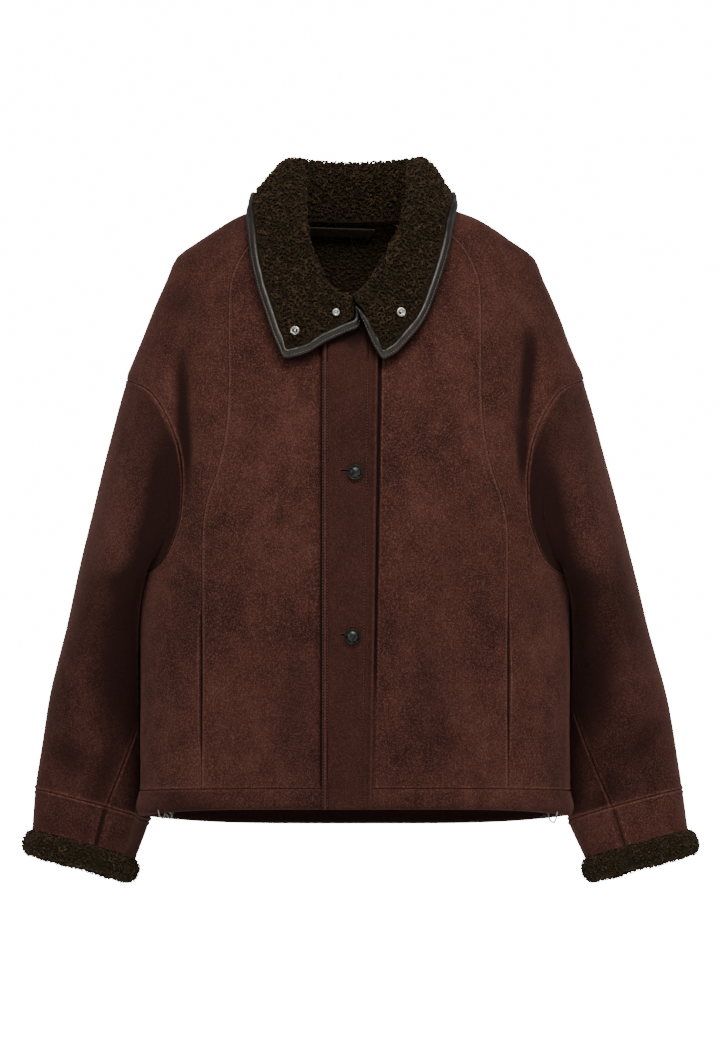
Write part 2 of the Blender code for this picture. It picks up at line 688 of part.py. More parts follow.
def sleeve_turns(under):
    """The rings of a sleeve half, and the angles round it of each ring's points."""
    rings = np.array([0, 0.3, 0.6, 0.8, 1, 1.5, 2, 2.5, 3, 3.5, 4, 4.6, 5.2, 6, 7, 8, 9, 10], float)
    tf = row_steps(FRONT_ROWS, FRONT_EXTRA)
    tb = row_steps(BACK_ROWS, BACK_EXTRA)
    zf, zb = front_rows(tf)[:, 4], back_rows(tb)[:, 2]
    if under:
        start = hole_angles(zf, tf, SLEEVE_FRONT_ROW, ROW_U)
        rest = 2 * math.pi - hole_angles(zb, tb, SLEEVE_BACK_ROW, BACK_U)[::-1]
        first = np.concatenate([start, rest[1:]])
    else:
        rest = -hole_angles(zb, tb, BACK_T, SLEEVE_BACK_ROW)[::-1]
        first = np.concatenate([rest, hole_angles(zf, tf, ROW_T, SLEEVE_FRONT_ROW)[1:]])
    front, rear = sleeve_seams(rings)
    u = np.linspace(0, 1, len(first))
    grid = []
    for r, f, b in zip(rings, front, rear):
        even = f + (2 * math.pi - b - f) * u if under else -b + (f + b) * u
        share = min(1.0, r / 2.0)
        grid.append(first * (1 - share) + even * share)
    return rings, np.array(grid)


def sleeve_piece(name, side, under, material):
    """The upper or the under half of a sleeve."""
    rings, a = sleeve_turns(under)
    columns = a.shape[1]
    spread = 1 + 3 * np.exp(-((rings[:, None] - 0.8) / 0.4) ** 2)
    nudge = SEAM_TURN * spread * np.linspace(1, -1, columns)
    r = np.clip(np.repeat(rings[:, None], columns, 1), 0.022, len(SLEEVE) - 1 - 0.006)
    outer = sleeve_point(r, a + nudge, side)
    thin = 1 - UNDERARM_THIN * (1 - np.cos(a)) / 2 * np.exp(-((r - 0.75) / 0.7) ** 2)
    inner = outer - (SLEEVE_WALL * thin)[..., None] * sleeve_normal(r, a, side)
    return wall(name, mirrored(outer, side), mirrored(inner, side), material, even_top=False)


def cuff_ring(down, angle, side, out=0.0):
    """Points round the cuff; down is 0 at its seam and 1 at the end of its band."""
    last = float(len(SLEEVE) - 1)
    base = sleeve_point(np.full_like(angle, last), angle, side)
    centre = base.mean(axis=0)
    shift = np.array([CUFF_OUT[side], -2.0, -CUFF_DROP])
    squeeze = 1 - (1 - CUFF_SQUEEZE) * down
    radial = unit(base - centre)
    return centre + (base - centre) * squeeze + radial * out + shift * down


def cuff_band(name, side, material):
    angle = np.concatenate([sleeve_turns(False)[1][-1], sleeve_turns(True)[1][-1, 1:-1]])
    rows = (CUFF_START[side], 0.5, 1.0)
    outer = np.array([cuff_ring(r, angle, side) for r in rows])
    inner = np.array([cuff_ring(r, angle, side, out=-SLEEVE_WALL) for r in rows])
    end = np.full_like(angle, len(SLEEVE) - 1 - 0.006)
    inner[0] = outer[0] - SLEEVE_WALL * sleeve_normal(end, angle, side)
    return wall(name, mirrored(outer, side), mirrored(inner, side), material, ring=True)


def cuff_fur(name, side, material):
    """Rolled-out fur round the sleeve's end: a fat ring that closes on itself all round."""
    angle = np.linspace(0, 2 * math.pi, 27)[:-1]
    middle = cuff_ring(1.0, angle, side, out=-2.0)
    down = unit(np.array([CUFF_OUT[side], -2.0, -CUFF_DROP]))
    middle = middle + down * (FUR_ROLL * 1.09 + 0.6)
    radial = unit(middle - middle.mean(axis=0))
    radial = unit(radial - (radial @ down)[:, None] * down)
    turns = np.linspace(0, 2 * math.pi, 9)[:-1]
    lumps = 1 + 0.05 * np.sin(5 * angle) + 0.04 * np.sin(9 * angle + 1)     # at most 1.09
    rows = []
    for k in turns:
        reach = FUR_ROLL * lumps[:, None]
        rows.append(middle + radial * reach * math.cos(k) * 0.78 + down * reach * math.sin(k))
    rows = mirrored(np.array(rows), side)
    return tube_ring(name, rows, material)


def tube_ring(name, rows, material):
    """A closed torus through rows (round the section) of points (along the ring)."""
    n, m = rows.shape[:2]
    points = [tuple(p * MM) for p in rows.reshape(-1, 3)]
    faces = []
    for i in range(n):
        j = (i + 1) % n
        for c in range(m):
            d = (c + 1) % m
            faces.append((i * m + c, i * m + d, j * m + d, j * m + c))
    mesh = bpy.data.meshes.new(name)
    mesh.from_pydata(points, [], faces)
    mesh.update()
    if signed_volume(mesh) < 0:
        mesh.flip_normals()
    mesh.shade_smooth()
    return link(name, mesh, material)


# ---------------------------------------------------------------- collar
def leaf_edge(x, z, lift):
    """The leaf's edge at this lift off the front; low down its own height is z."""
    level = min(z, SHOULDER_Z)
    edge = body(x, level, out=lift)
    goal = edge[2] + (z - edge[2]) * np.clip((EDGE_FREE - z) / (EDGE_FREE - EDGE_LEVEL), 0, 1)
    for _ in range(5):
        level += goal - edge[2]
        edge = body(x, min(level, SHOULDER_Z), out=lift)
    return edge + (0, 0, max(0, z - SHOULDER_Z))


def collar_stations():
    """Neck seam, its outward normal, fold and edge of every station, left front end to right."""
    rows = []
    for side in (-1, 1):
        part = []
        for row, fx, fy, fz, ex, ez, lift in COLLAR_FRONT[side]:
            nx, nz = neck_front([row])[0] * (side, 1)
            seam = body(nx, nz)
            edge = leaf_edge(ex, ez, lift)
            part.append((seam, body(nx, nz, out=1) - seam, (fx, fy, fz), edge))
        lean = 1.0 if side < 0 else COLLAR_RIGHT
        for row, fx, fy, fz, ex, ey, ez in COLLAR_SHOULDER:
            nx, nz = neck_front([row])[0] * (side, 1)
            seam = body(nx, nz)
            part.append((seam, body(nx, nz, out=1) - seam, (-fx * side, fy, fz),
                         (-ex * side * lean, ey, ez)))
        for turn, fx, fy, fz, ex, ey, ez in COLLAR_BACK[:None if side < 0 else -1]:
            nz = neck_back_z(math.radians(turn))
            nx = half_width(nz)[0] * math.sin(math.radians(turn)) * side
            seam = body(nx, nz, back=True)
            normal = body(nx, nz, back=True, out=1) - seam
            part.append((seam, normal, (-fx * side, fy, fz), (-ex * side * lean, ey, ez)))
        rows += part if side < 0 else part[::-1]
    return [np.array(column, float) for column in zip(*rows)]


def bezier(p0, p1, p2, p3, t):
    t = t[:, None]
    return (1 - t)**3 * p0 + 3 * (1 - t)**2 * t * p1 + 3 * (1 - t) * t**2 * p2 + t**3 * p3


def collar_grid(stations, steps):
    """Fur face of the collar: one row a station, from the neck seam over the fold to the edge."""
    seam, normal, fold, edge = collar_stations()
    last = len(seam) - 1
    keys = np.arange(last + 1)
    at = np.linspace(0, last, stations)
    seam, normal, fold, edge = (smooth(keys, v, at) for v in (seam, normal, fold, edge))
    normal = unit(normal)
    into = unit(np.cross(np.gradient(seam, axis=0), normal))
    into = np.where(((into * seam).sum(-1) > 0)[:, None], -into, into)
    end = np.minimum(at, last - at)
    fold_room = smooth(*FOLD_ROOM.T, end)
    t = np.linspace(0, 1, steps)
    rows = []
    for n, g, a, b, e, room in zip(normal, into, seam, fold, edge, fold_room):
        start = a + g * NECK_GAP - n * WALL
        over = unit(e - start) * room
        stand = bezier(start, start + g * 9 + (b - start) * 0.25, b - over, b, t)
        out = unit(over - (b - e) * np.dot(over, b - e) / np.dot(b - e, b - e))
        leaf = bezier(b, b + over, e + (b - e) * 0.45 + out * room * 0.35, e, t)
        rows.append(np.concatenate([stand, leaf[1:]]))
    return np.array(rows), normal


def grid_normals(grid):
    along = np.gradient(grid, axis=0)
    across = np.gradient(grid, axis=1)
    return unit(np.cross(along, across))


def collar_parts(material, leather):
    """The fur collar and, round the leaf's edge, its leather binding."""
    steps = 9
    grid, seam_normal = collar_grid(COLLAR_STATIONS, steps)
    normal = grid_normals(grid)
    if normal[COLLAR_STATIONS // 2, -2, 1] < 0:      # at the back the leaf's fur faces +Y
        normal = -normal
    normal[0, steps:], normal[-1, steps:] = normal[1, steps:], normal[-2, steps:]
    normal[:, 0] = -seam_normal
    normal[:, 1] = unit(normal[:, 0] + 2 * normal[:, 1])
    edge = grid[:, -1]
    pull = unit(grid[:, -3] - edge)
    tangent = unit(np.gradient(edge, axis=0))
    sine = np.sqrt(np.clip(1 - (pull * tangent).sum(-1) ** 2, 0.35, 1))
    leaf = np.linalg.norm(edge - grid[:, steps - 1], axis=1)
    width = np.minimum(BINDING_W / sine, 0.3 * leaf)
    ends = np.minimum(np.arange(COLLAR_STATIONS), COLLAR_STATIONS - 1 - np.arange(COLLAR_STATIONS))
    seam = edge + pull * (width + np.interp(ends, [0, 1, 2], [5.6, 6.5, 1.4]))[:, None]
    short = grid.copy()
    for k in range(steps, 2 * steps - 1):
        share = (k - steps + 1) / (steps - 1)
        short[:, k] = grid[:, k] + (seam - edge) * share
    share = np.linspace(0, 1, grid.shape[1])
    thick = np.tile(np.interp(share, (0, 0.25, 1), (WALL, COLLAR_WALL, COLLAR_WALL)), (COLLAR_STATIONS, 1))
    thick *= np.interp(ends, [0, 1, 5], [0.4, 0.62, 1.0])[:, None]
    inner = short - normal * thick[..., None]
    wall("collar", short, inner, material)

    n = normal[:, -1]
    t_end = thick[:, -1][:, None]
    section = []
    for back_off, level in ((1.0, 0.5), (0.55, 1.2), (0.12, 0.6), (0.0, -3.0), (0.12, -6.5),
                            (0.55, -8.4)):
        section.append(edge + pull * (width * back_off)[:, None] + n * level)
    section.append(edge + pull * width[:, None] - n * np.minimum(t_end, 9.0))
    rows = np.array(section)
    return loft_tube("collar_binding", rows, leather)


def loft_tube(name, rows, material):
    """A closed bar through rows (round the section) of points (along it), with flat ends."""
    n, m = rows.shape[:2]
    points = [tuple(p * MM) for p in rows.reshape(-1, 3)]
    faces = []
    for i in range(n):
        j = (i + 1) % n
        for c in range(m - 1):
            a, b, d, e = i * m + c, i * m + c + 1, j * m + c + 1, j * m + c
            faces += [(a, b, e), (b, d, e)]
    faces.append(tuple(i * m for i in range(n)))
    faces.append(tuple(i * m + m - 1 for i in reversed(range(n))))
    mesh = bpy.data.meshes.new(name)
    mesh.from_pydata(points, [], faces)
    mesh.update()
    if signed_volume(mesh) < 0:
        mesh.flip_normals()
    mesh.shade_smooth()
    mesh.set_sharp_from_angle(angle=math.radians(40))
    return link(name, mesh, material)


def turned(name, profile, place, facing, material, segments):
    """A turned piece: a profile of (radius, height) about an axis that faces out of the coat."""
    rows = []
    facing = unit(facing)
    side = unit(np.cross(facing, (0, 0, 1)))
    up = np.cross(side, facing)
    angle = np.linspace(0, 2 * math.pi, segments + 1)[:-1]
    for radius, height in profile:
        ring = side * np.cos(angle)[:, None] + up * np.sin(angle)[:, None]
        rows.append(np.asarray(place) + ring * radius + facing * height)
    rows = np.array(rows)
    n, m = rows.shape[:2]
    points = [tuple(p * MM) for p in rows.reshape(-1, 3)]
    faces = [tuple(reversed(range(m))), tuple(range((n - 1) * m, n * m))]
    for r in range(n - 1):
        for c in range(m):
            d = (c + 1) % m
            faces.append((r * m + c, r * m + d, (r + 1) * m + d, (r + 1) * m + c))
    mesh = bpy.data.meshes.new(name)
    mesh.from_pydata(points, [], faces)
    mesh.update()
    if signed_volume(mesh) < 0:
        mesh.flip_normals()
    mesh.shade_smooth()
    mesh.set_sharp_from_angle(angle=math.radians(30))
    return link(name, mesh, material)


def button(name, x, z, material):
    """A domed button with a raised rim, on the placket."""
    seat = PLACKET_LIFT + PLACKET_WALL
    place = body(x, z, out=seat + SEAM_GAP + 0.2)
    facing = body(x, z, out=seat + 1) - body(x, z, out=seat)
    r = BUTTON_D / 2
    profile = [(0.62 * r, 0), (0.98 * r, 0.20 * BUTTON_H), (r, 0.38 * BUTTON_H),
               (0.9 * r, 0.62 * BUTTON_H), (0.74 * r, 0.70 * BUTTON_H), (0.66 * r, 0.60 * BUTTON_H),
               (0.42 * r, 0.82 * BUTTON_H), (0.1 * r, 0.9 * BUTTON_H)]
    return turned(name, profile, place, facing, material, segments=14)


def leaf_place(x, z):
    """Where the collar leaf's fur face is, seen from the front at (x, z), and which way it faces."""
    grid, _ = collar_grid(6 * COLLAR_STATIONS, 41)
    leaf = grid[:, 44:]
    normal = grid_normals(leaf)
    off = (leaf[..., 0] - x) ** 2 + (leaf[..., 2] - z) ** 2 + np.where(leaf[..., 1] > 0, 1e6, 0)
    k = np.unravel_index(int(np.argmin(off)), off.shape)
    facing = normal[k]
    return leaf[k], facing if facing[1] < 0 else -facing


def snap(name, x, z, diameter, material):
    """A press fastener's face: a low ring with a dished middle, on the collar's fur."""
    place, facing = leaf_place(x, z)
    r = diameter / 2
    profile = [(0.8 * r, 0), (r, 0.7), (r, 1.6), (0.82 * r, 2.3), (0.55 * r, 2.2),
               (0.42 * r, 1.3), (0.15 * r, 1.3)]
    return turned(name, profile, place + facing * 0.55, facing, material, segments=12)


def neck_tape(name, material):
    """The folded suede hanger across the back of the neck, on the inside."""
    x = np.linspace(TAPE_LEFT, TAPE_RIGHT, 11)[None, :] * np.ones((2, 1))
    z = np.array([[TAPE_TOP], [TAPE_BOTTOM]]) + np.linspace(TAPE_TILT, -TAPE_TILT, 11)[None, :]
    z[1, -1] += TAPE_END_LIFT
    near = body(x, z, True, out=-WALL - TAPE_ROOM)
    return wall(name, near, body(x, z, True, out=-WALL - TAPE_ROOM - TAPE_WALL), material)


def hem_toggle(name, x, room, material):
    """The drawcord's end stop, hanging just inside the hem."""
    place = body(x, TOGGLE_LOW + 8.5, out=-WALL - room)
    place[2] = TOGGLE_LOW
    return turned(name, TOGGLE_PROFILE, place, (0.25, 0.1, 1.0), material, segments=12)


# ---------------------------------------------------------------- building
def make_material(name):
    colour, roughness, metallic = COLOURS[name]
    material = bpy.data.materials.new(name)
    material.use_nodes = True
    shader = material.node_tree.nodes["Principled BSDF"]
    shader.inputs["Base Color"].default_value = (*colour, 1)
    shader.inputs["Roughness"].default_value = roughness
    shader.inputs["Metallic"].default_value = metallic
    material.diffuse_color = (*colour, 1)
    return material


for old in list(bpy.data.objects):
    bpy.data.objects.remove(old, do_unlink=True)
COAT = bpy.data.collections.new("shearling_coat")
bpy.context.scene.collection.children.link(COAT)
MATERIAL = {name: make_material(name) for name in COLOURS}
SUEDE, FUR, LEATHER = MATERIAL["suede"], MATERIAL["fur"], MATERIAL["leather"]

for label, side in (("left", -1), ("right", 1)):
    front_centre(f"front_centre_{label}", side, FRONT_MIDDLE[side], SUEDE)
    front_side(f"front_side_{label}", side, SUEDE)
    sleeve_piece(f"sleeve_upper_{label}", side, False, SUEDE)
    sleeve_piece(f"sleeve_under_{label}", side, True, SUEDE)
    cuff_band(f"cuff_band_{label}", side, SUEDE)
    cuff_fur(f"cuff_fur_{label}", side, FUR)
    pocket_facing(f"pocket_facing_{label}", side, MATERIAL["placket_suede"])
back_panel("back_panel", SUEDE)
hem_band("hem_band_front_left", -HEM_TO, FRONT_MIDDLE[-1], 12, False, SUEDE)
hem_band("hem_band_front_right", FRONT_MIDDLE[1], HEM_TO, 14, False, SUEDE)
hem_band("hem_band_back", -HEM_TO, HEM_TO, 25, True, SUEDE)
placket("placket", MATERIAL["placket_suede"])
collar_parts(FUR, LEATHER)
for name, x, z in BUTTONS:
    button(name, x, z, MATERIAL["gunmetal"])
for name, x, z, diameter in SNAPS:
    snap(name, x, z, diameter, MATERIAL["silver"])
neck_tape("neck_tape", MATERIAL["cord"])
for name, x, room in TOGGLES:
    hem_toggle(name, x, room, MATERIAL["gunmetal"])
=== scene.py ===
# %% [markdown]
# # A shearling coat, dressed for its portrait
# The solids of the coat come in as a fixed frame: plain walls with the right size and place. This
# script makes what the eye sees on them. Shearling is one skin with suede on one side and wool on
# the other, so most pieces here are a suede face, a woolly inside and a rounded cut edge.
#
# Everything is in metres in Blender, but the tables are in millimetres, as on a pattern sheet.
# "left" and "right" are as seen from the front: +X is right, the front faces -Y, +Z is up.

# %% The frame
import math

import bpy
import numpy as np
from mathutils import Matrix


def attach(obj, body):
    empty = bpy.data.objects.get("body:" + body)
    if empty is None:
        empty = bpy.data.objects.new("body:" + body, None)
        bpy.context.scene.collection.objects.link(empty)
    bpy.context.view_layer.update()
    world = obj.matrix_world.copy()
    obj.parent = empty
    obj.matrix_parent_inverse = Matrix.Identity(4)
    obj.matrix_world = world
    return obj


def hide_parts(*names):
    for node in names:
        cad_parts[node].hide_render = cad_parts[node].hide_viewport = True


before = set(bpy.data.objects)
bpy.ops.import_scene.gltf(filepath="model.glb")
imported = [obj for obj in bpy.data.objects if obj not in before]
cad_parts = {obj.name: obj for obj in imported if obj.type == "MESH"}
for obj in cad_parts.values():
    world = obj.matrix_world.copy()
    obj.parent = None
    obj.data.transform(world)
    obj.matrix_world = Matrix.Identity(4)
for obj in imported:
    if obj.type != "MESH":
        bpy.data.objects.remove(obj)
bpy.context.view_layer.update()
MM = 0.001
print("solids in the frame:", len(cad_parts))

# %% [markdown]
# ## The pattern
# A coat is a few flat pieces cut by rule and sewn to a round form. The form is written as tables:
# oval sections for the body, slanted rings for the sleeves and stations round the neck for the
# collar. The same tables made the solids, so a face worked out from them lies on its solid. Other
# ways are sculpting or a cloth simulation; tables were chosen because each row can be read, and a
# seam is simply the place where two pieces read the same row.

# %% Sizes of the cloth
WALL = 8.0                # suede, wool and the air in it, on the body
SLEEVE_WALL = 7.0
UNDERARM_THIN = 0.9
ROUNDNESS = 2.4
PLACKET_WALL = 4.6
PLACKET_LIFT = 0.9
COLLAR_WALL = 12.0
BINDING_W = 9.5
UNDERLAP_DROP = 4.0
FUR_ROLL = 13.0
NECK_GAP = 1.1
FRONT_MIDDLE = {-1: -32.2, 1: -31.6}   # where the two fronts end, under the placket
BUTTON_D = 17.0
BUTTON_H = 6.5
SNAP_D = 10.5
SIDES = ("left", -1), ("right", 1)

# %% The body and its panels
# Body sections from the neck point down to the hem.
BODY = np.array([
    # z, half width, front depth, back depth
    (28, 82, 26, 34),
    (13, 128, 41, 61),
    (0, 151, 52, 75),
    (-13, 170, 61, 84),
    (-35, 198, 73, 93),
    (-57, 207, 82, 101),
    (-79, 217, 91, 108),
    (-101, 226, 99, 113),
    (-123, 234, 106, 117),
    (-145, 243, 112, 119.5),
    (-167, 251, 117, 121),
    (-200, 251, 123, 122),
    (-240, 247, 129, 122),
    (-300, 240, 134, 120),
    (-360, 237, 136, 118),
    (-440, 236, 136, 116),
    (-520, 236, 133, 115),
    (-600, 236, 129, 115),
    (-622, 236.5, 128.5, 115),
    (-638, 239, 130, 117),
    (-650, 238, 128, 116),
    (-664, 235, 126, 114),
], float)

# Neckline of the front, from the middle to the neck point on the shoulder.
NECK_FRONT = np.array([
    # x, z
    (0, -80), (22, -76), (42, -63), (58, -44), (70, -22), (79, -3), (85, 13), (85, 22), (82, 28),
], float)
PRINCESS_TOP = 6          # the row of NECK_FRONT where the long front seam starts

# Rows of the front panels: where each row meets the middle, the long seam and the outer edge.
FRONT_ROWS = np.array([
    # middle z, seam x, seam z, edge x, edge z (an edge x of 0 is on the body's outermost line)
    (-80, 85, 13, 0, 28),
    (-92, 104, -4, 0, 13),
    (-104, 121, -24, 0, -13),
    (-118, 131, -42, 0, -57),
    (-132, 137, -62, 0, -101),
    (-148, 139, -90, 0, -140),
    (-166, 139, -116, 0, -167),
    (-184, 139, -146, 226, -179),
    (-204, 139, -175, 211, -199),
    (-226, 140, -202, 202, -217),
    (-252, 144, -234, 193, -245),
    (-284, 152, -270, 189, -281),
    (-312, 162, -298, 190, -311),
    (-346, 167.5, -334, 199, -344),
    (-376, 168, -368, 213, -370),
    (-396, 168, -392, 0, -385),
    (-430, 168, -428, 0, -420),
    (-490, 168, -488, 0, -484),
    (-555, 168, -554, 0, -552),
    (-615.5, 168, -616.05, 0, -618.5),
], float)
ROW_T = 6                 # the row at the sleeve seam's top
ROW_U = 15                # the row at the underarm
SLEEVE_FRONT_ROW = 14     # the row where the sleeve's own front seam meets the body

# Rows of the back: the same, without a long seam.
BACK_ROWS = np.array([
    # middle z, edge x, edge z
    (12, 0, 28),
    (-10, 0, 13),
    (-36, 0, -13),
    (-66, 0, -57),
    (-100, 0, -101),
    (-130, 0, -140),
    (-156, 0, -167),
    (-176, 228, -181),
    (-200, 212, -205),
    (-230, 203, -235),
    (-262, 199, -268),
    (-295, 200, -300),
    (-325, 206, -332),
    (-355, 218, -362),
    (-385, 0, -385),
    (-425, 0, -420),
    (-490, 0, -484),
    (-560, 0, -552),
    (-633, 0, -618.5),
], float)
BACK_T = 6
BACK_U = 14
SLEEVE_BACK_ROW = 13

# Heights of the seam over the hem band and of the hem, in the middle of the front and the back.
FRONT_BAND_Z, BACK_BAND_Z = -615.5, -633
FRONT_HEM_Z, BACK_HEM_Z = -638.5, -657

# Soft upright folds: x, top z, bottom z, depth, half width. Each is a trough in the wall.
FRONT_FOLDS = np.array([
    (192, -112, -330, 11.0, 15.0),
    (222, -340, -470, 3.0, 14.0),
    (120, -430, -600, 2.0, 20.0),
], float)
BACK_FOLDS = np.array([
    (188, -120, -345, 9.0, 17.0),
    (96, -260, -520, 3.5, 26.0),
    (30, -380, -600, 2.5, 24.0),
], float)

# Sleeve rings from the armhole to the cuff seam.
SLEEVE = np.array([
    # outer x, outer z, outer y, inner x, inner z, inner y, front y, back y, pull, front lift
    (251, -167, 0, 236, -385, 0, -94, 80, 0, 0),
    (262, -204, 3, 240, -390, 8, -93, 86, 44, 0),
    (274, -250, 7, 240, -398, 20, -88, 93, 33, 0),
    (287, -300, 12, 236, -409, 34, -79, 100, 22, 0),
    (298.5, -345, 18, 230, -425, 48, -67, 107, 12, 0),
    (308, -385, 24, 224, -447, 60, -54, 112, 5, 0),
    (317.5, -425, 29, 219, -475, 67, -42, 114, 0, 0),
    (329, -470, 33, 216, -511, 69, -31, 112, 0, 1),
    (340, -515, 36, 217, -550, 67, -22, 106, 0, 2),
    (348.5, -562, 37, 221, -597, 62, -15, 96, 0, 3),
    (357, -618, 37, 231, -653, 52, -8, 84, 0, 3),
], float)
# Angle round the sleeve of its two seams, outer line 0, front 90, inner line 180.
SLEEVE_SEAMS = np.array([
    # ring, front seam, back seam
    (0, 158, 150), (4, 156, 145), (6, 148, 136), (8, 125, 124), (10, 102, 112),
], float)
SLEEVE_OUT = {1: 4.0, -1: -5.0}   # how much further out the right cuff hangs than the left
CUFF_DROP = 44.0          # how far the band's end lies below its seam
CUFF_OUT = {1: 12.6, -1: 9.5}     # how far it swings away from the body
CUFF_SQUEEZE = 0.9
CUFF_LEAN = -2.0          # how far it swings to the front
SLEEVE_ROUND = 0.9        # below 1 a sleeve's section is a little squarer than an ellipse
SLEEVE_ROOM = 3.5         # between a sleeve and the body
SEAM_TURN = 0.006         # half the turn left free at a sleeve's lengthwise seams

COLLAR_FRONT = {
    # one row a station from the front end towards the shoulder:
    # neckline row; fold x, y, z; edge x, z, lift off the front
    -1: np.array([
        (0.55, -5.5, -109, -78, 1, -92, 14),
        (0.85, -12, -109, -74.5, 6, -107.5, 14),
        (1.2, -19, -109, -70, -11, -116.5, 14.5),
        (1.6, -27, -107, -65, -32, -126.5, 15),
        (2, -36, -101, -47, -54, -139, 15),
        (2.5, -42, -94, -34, -75, -143.5, 15),
        (3, -48, -86, -20, -85, -127, 15),
        (3.55, -53, -77, -2, -97, -93, 15),
        (4.1, -57, -65, 16, -106, -66, 15),
        (4.65, -58.5, -51, 32, -113, -36, 15),
        (5.2, -58.5, -37, 47, -115.5, -12, 14),
        (5.8, -58, -22, 60, -117, 6, 13),
    ], float),
    1: np.array([
        (-0.1, -1, -112, -75.5, 2, -91.5, 22),
        (0.25, 6, -112.5, -71, 8.5, -103.5, 21),
        (0.7, 14, -111, -63, 15, -119.5, 18.5),
        (1.15, 22, -108, -52, 23, -135, 16),
        (1.6, 30, -102, -38, 31, -144.5, 15),
        (2, 37, -96, -24, 43, -139, 15),
        (2.55, 44, -88, -8, 58, -124, 15),
        (3.1, 50.5, -77, 9, 76, -100, 15),
        (3.8, 56, -64, 26, 90, -67, 15),
        (4.4, 60.5, -49, 42, 102, -31, 15),
        (5, 63, -34, 55, 107, -3, 14),
        (5.8, 62, -20, 63, 110, 10, 13),
    ], float),
}
COLLAR_SHOULDER = np.array([
    # neckline row; fold x, y, z; edge x, y, z, left side
    (7.0, -61, -8, 68.5, -119, -20, 24),
    (7.5, -62.5, -1, 71, -118, -9, 28),
    (8.0, -64, 5, 72.4, -117, 3, 30.5),
], float)
COLLAR_BACK = np.array([
    # turn round the back neckline, 90 at the shoulder; fold x, y, z; edge x, y, z, left side
    (84, -65.5, 11, 73.5, -116, 18, 31),
    (74, -68, 24, 75.2, -111, 38, 25),
    (60, -67, 42, 75.5, -101, 62, 15),
    (45, -59, 60, 75.5, -84, 84, 3),
    (30, -44, 76, 74.5, -60, 101, -6),
    (15, -23, 86, 74, -31, 110, -11),
    (0, 0, 89, 73.5, 0, 113, -13),
], float)

# Half the width of the collar's rounded fold, by stations from a front end.
FOLD_ROOM = np.array([(0, 8), (3, 10), (8, 15), (13, 19), (20, 19)], float)
COLLAR_RIGHT = 0.96
SHOULDER_Z = 27           # the body's own surface ends just above this height
EDGE_FREE, EDGE_LEVEL = -30.0, -90.0   # below the second height a leaf's edge lies at its own z

print("rows of the front:", len(FRONT_ROWS), "rows of the back:", len(BACK_ROWS))

# %% [markdown]
# ## Reading the tables
# A monotone cubic runs through the rows of a table without overshooting, so a shoulder stays a
# shoulder. A body point is found from its height and its distance from the middle: each height has
# an oval section, a little squarer than an ellipse, and soft upright folds sink into it.

# %% Smooth reading
def smooth(keys, values, at):
    """Monotone cubic through rows of values at rising keys, read at one place or many."""
    keys = np.asarray(keys, float)
    values = np.asarray(values, float)
    if keys[0] > keys[-1]:
        keys, values = keys[::-1], values[::-1]
    flat = values.ndim == 1
    rows = values[:, None] if flat else values
    step = np.diff(keys)
    slope = np.diff(rows, axis=0) / step[:, None]
    tangent = np.zeros_like(rows)
    tangent[0], tangent[-1] = slope[0], slope[-1]
    same = slope[:-1] * slope[1:] > 0
    total = np.where(same, slope[:-1] + slope[1:], 1.0)
    tangent[1:-1] = np.where(same, 2 * slope[:-1] * slope[1:] / total, 0.0)
    at = np.clip(np.atleast_1d(np.asarray(at, float)), keys[0], keys[-1])
    k = np.clip(np.searchsorted(keys, at, side="right") - 1, 0, len(step) - 1)
    h = step[k]
    t = (at - keys[k]) / h
    h, t = h[:, None], t[:, None]
    out = ((2 * t**3 - 3 * t**2 + 1) * rows[k] + (t**3 - 2 * t**2 + t) * h * tangent[k]
           + (3 * t**2 - 2 * t**3) * rows[k + 1] + (t**3 - t**2) * h * tangent[k + 1])
    return out[:, 0] if flat else out


def unit(v):
    v = np.asarray(v, float)
    return v / np.maximum(np.linalg.norm(v, axis=-1, keepdims=True), 1e-9)


def bell(distance, width):
    """1 at no distance, falling off to both sides."""
    return np.exp(-((distance / width) ** 2))


def rounding(distance, radius):
    """How far a rounded rim falls back by the distance from its edge: 1 at the edge, 0 inside."""
    return 1 - np.sqrt(1 - np.clip(1 - distance / radius, 0, 1) ** 2)


def eased(share):
    """0 to 1 with a soft start and a soft end."""
    return share**2 * (3 - 2 * share)


def half_width(z):
    z = np.asarray(z, float)
    return smooth(BODY[:, 0], BODY[:, 1], z.ravel()).reshape(z.shape)


print("half width at the chest:", round(float(half_width(-300.0)), 1), "mm")


# %% Points of the body
def trough(x, z, folds):
    sink = np.zeros_like(x)
    for fold_x, top, bottom, depth, width in folds:
        along = np.clip((top - z) / (top - bottom), 0, 1)
        sink += depth * np.sin(math.pi * along) ** 1.2 * bell(np.abs(x) - fold_x, width)
    return sink


def body_surface(x, z, back):
    w, front, rear = smooth(BODY[:, 0], BODY[:, 1:], z).T
    s = np.clip(np.abs(x) / w, 0, 1)
    y = (1 - s**ROUNDNESS) ** (1 / ROUNDNESS)
    y = rear * y if back else -front * y
    sink = trough(x, z, BACK_FOLDS if back else FRONT_FOLDS) * (1 - s**8)
    return np.stack([x, y + (-sink if back else sink), z], -1)


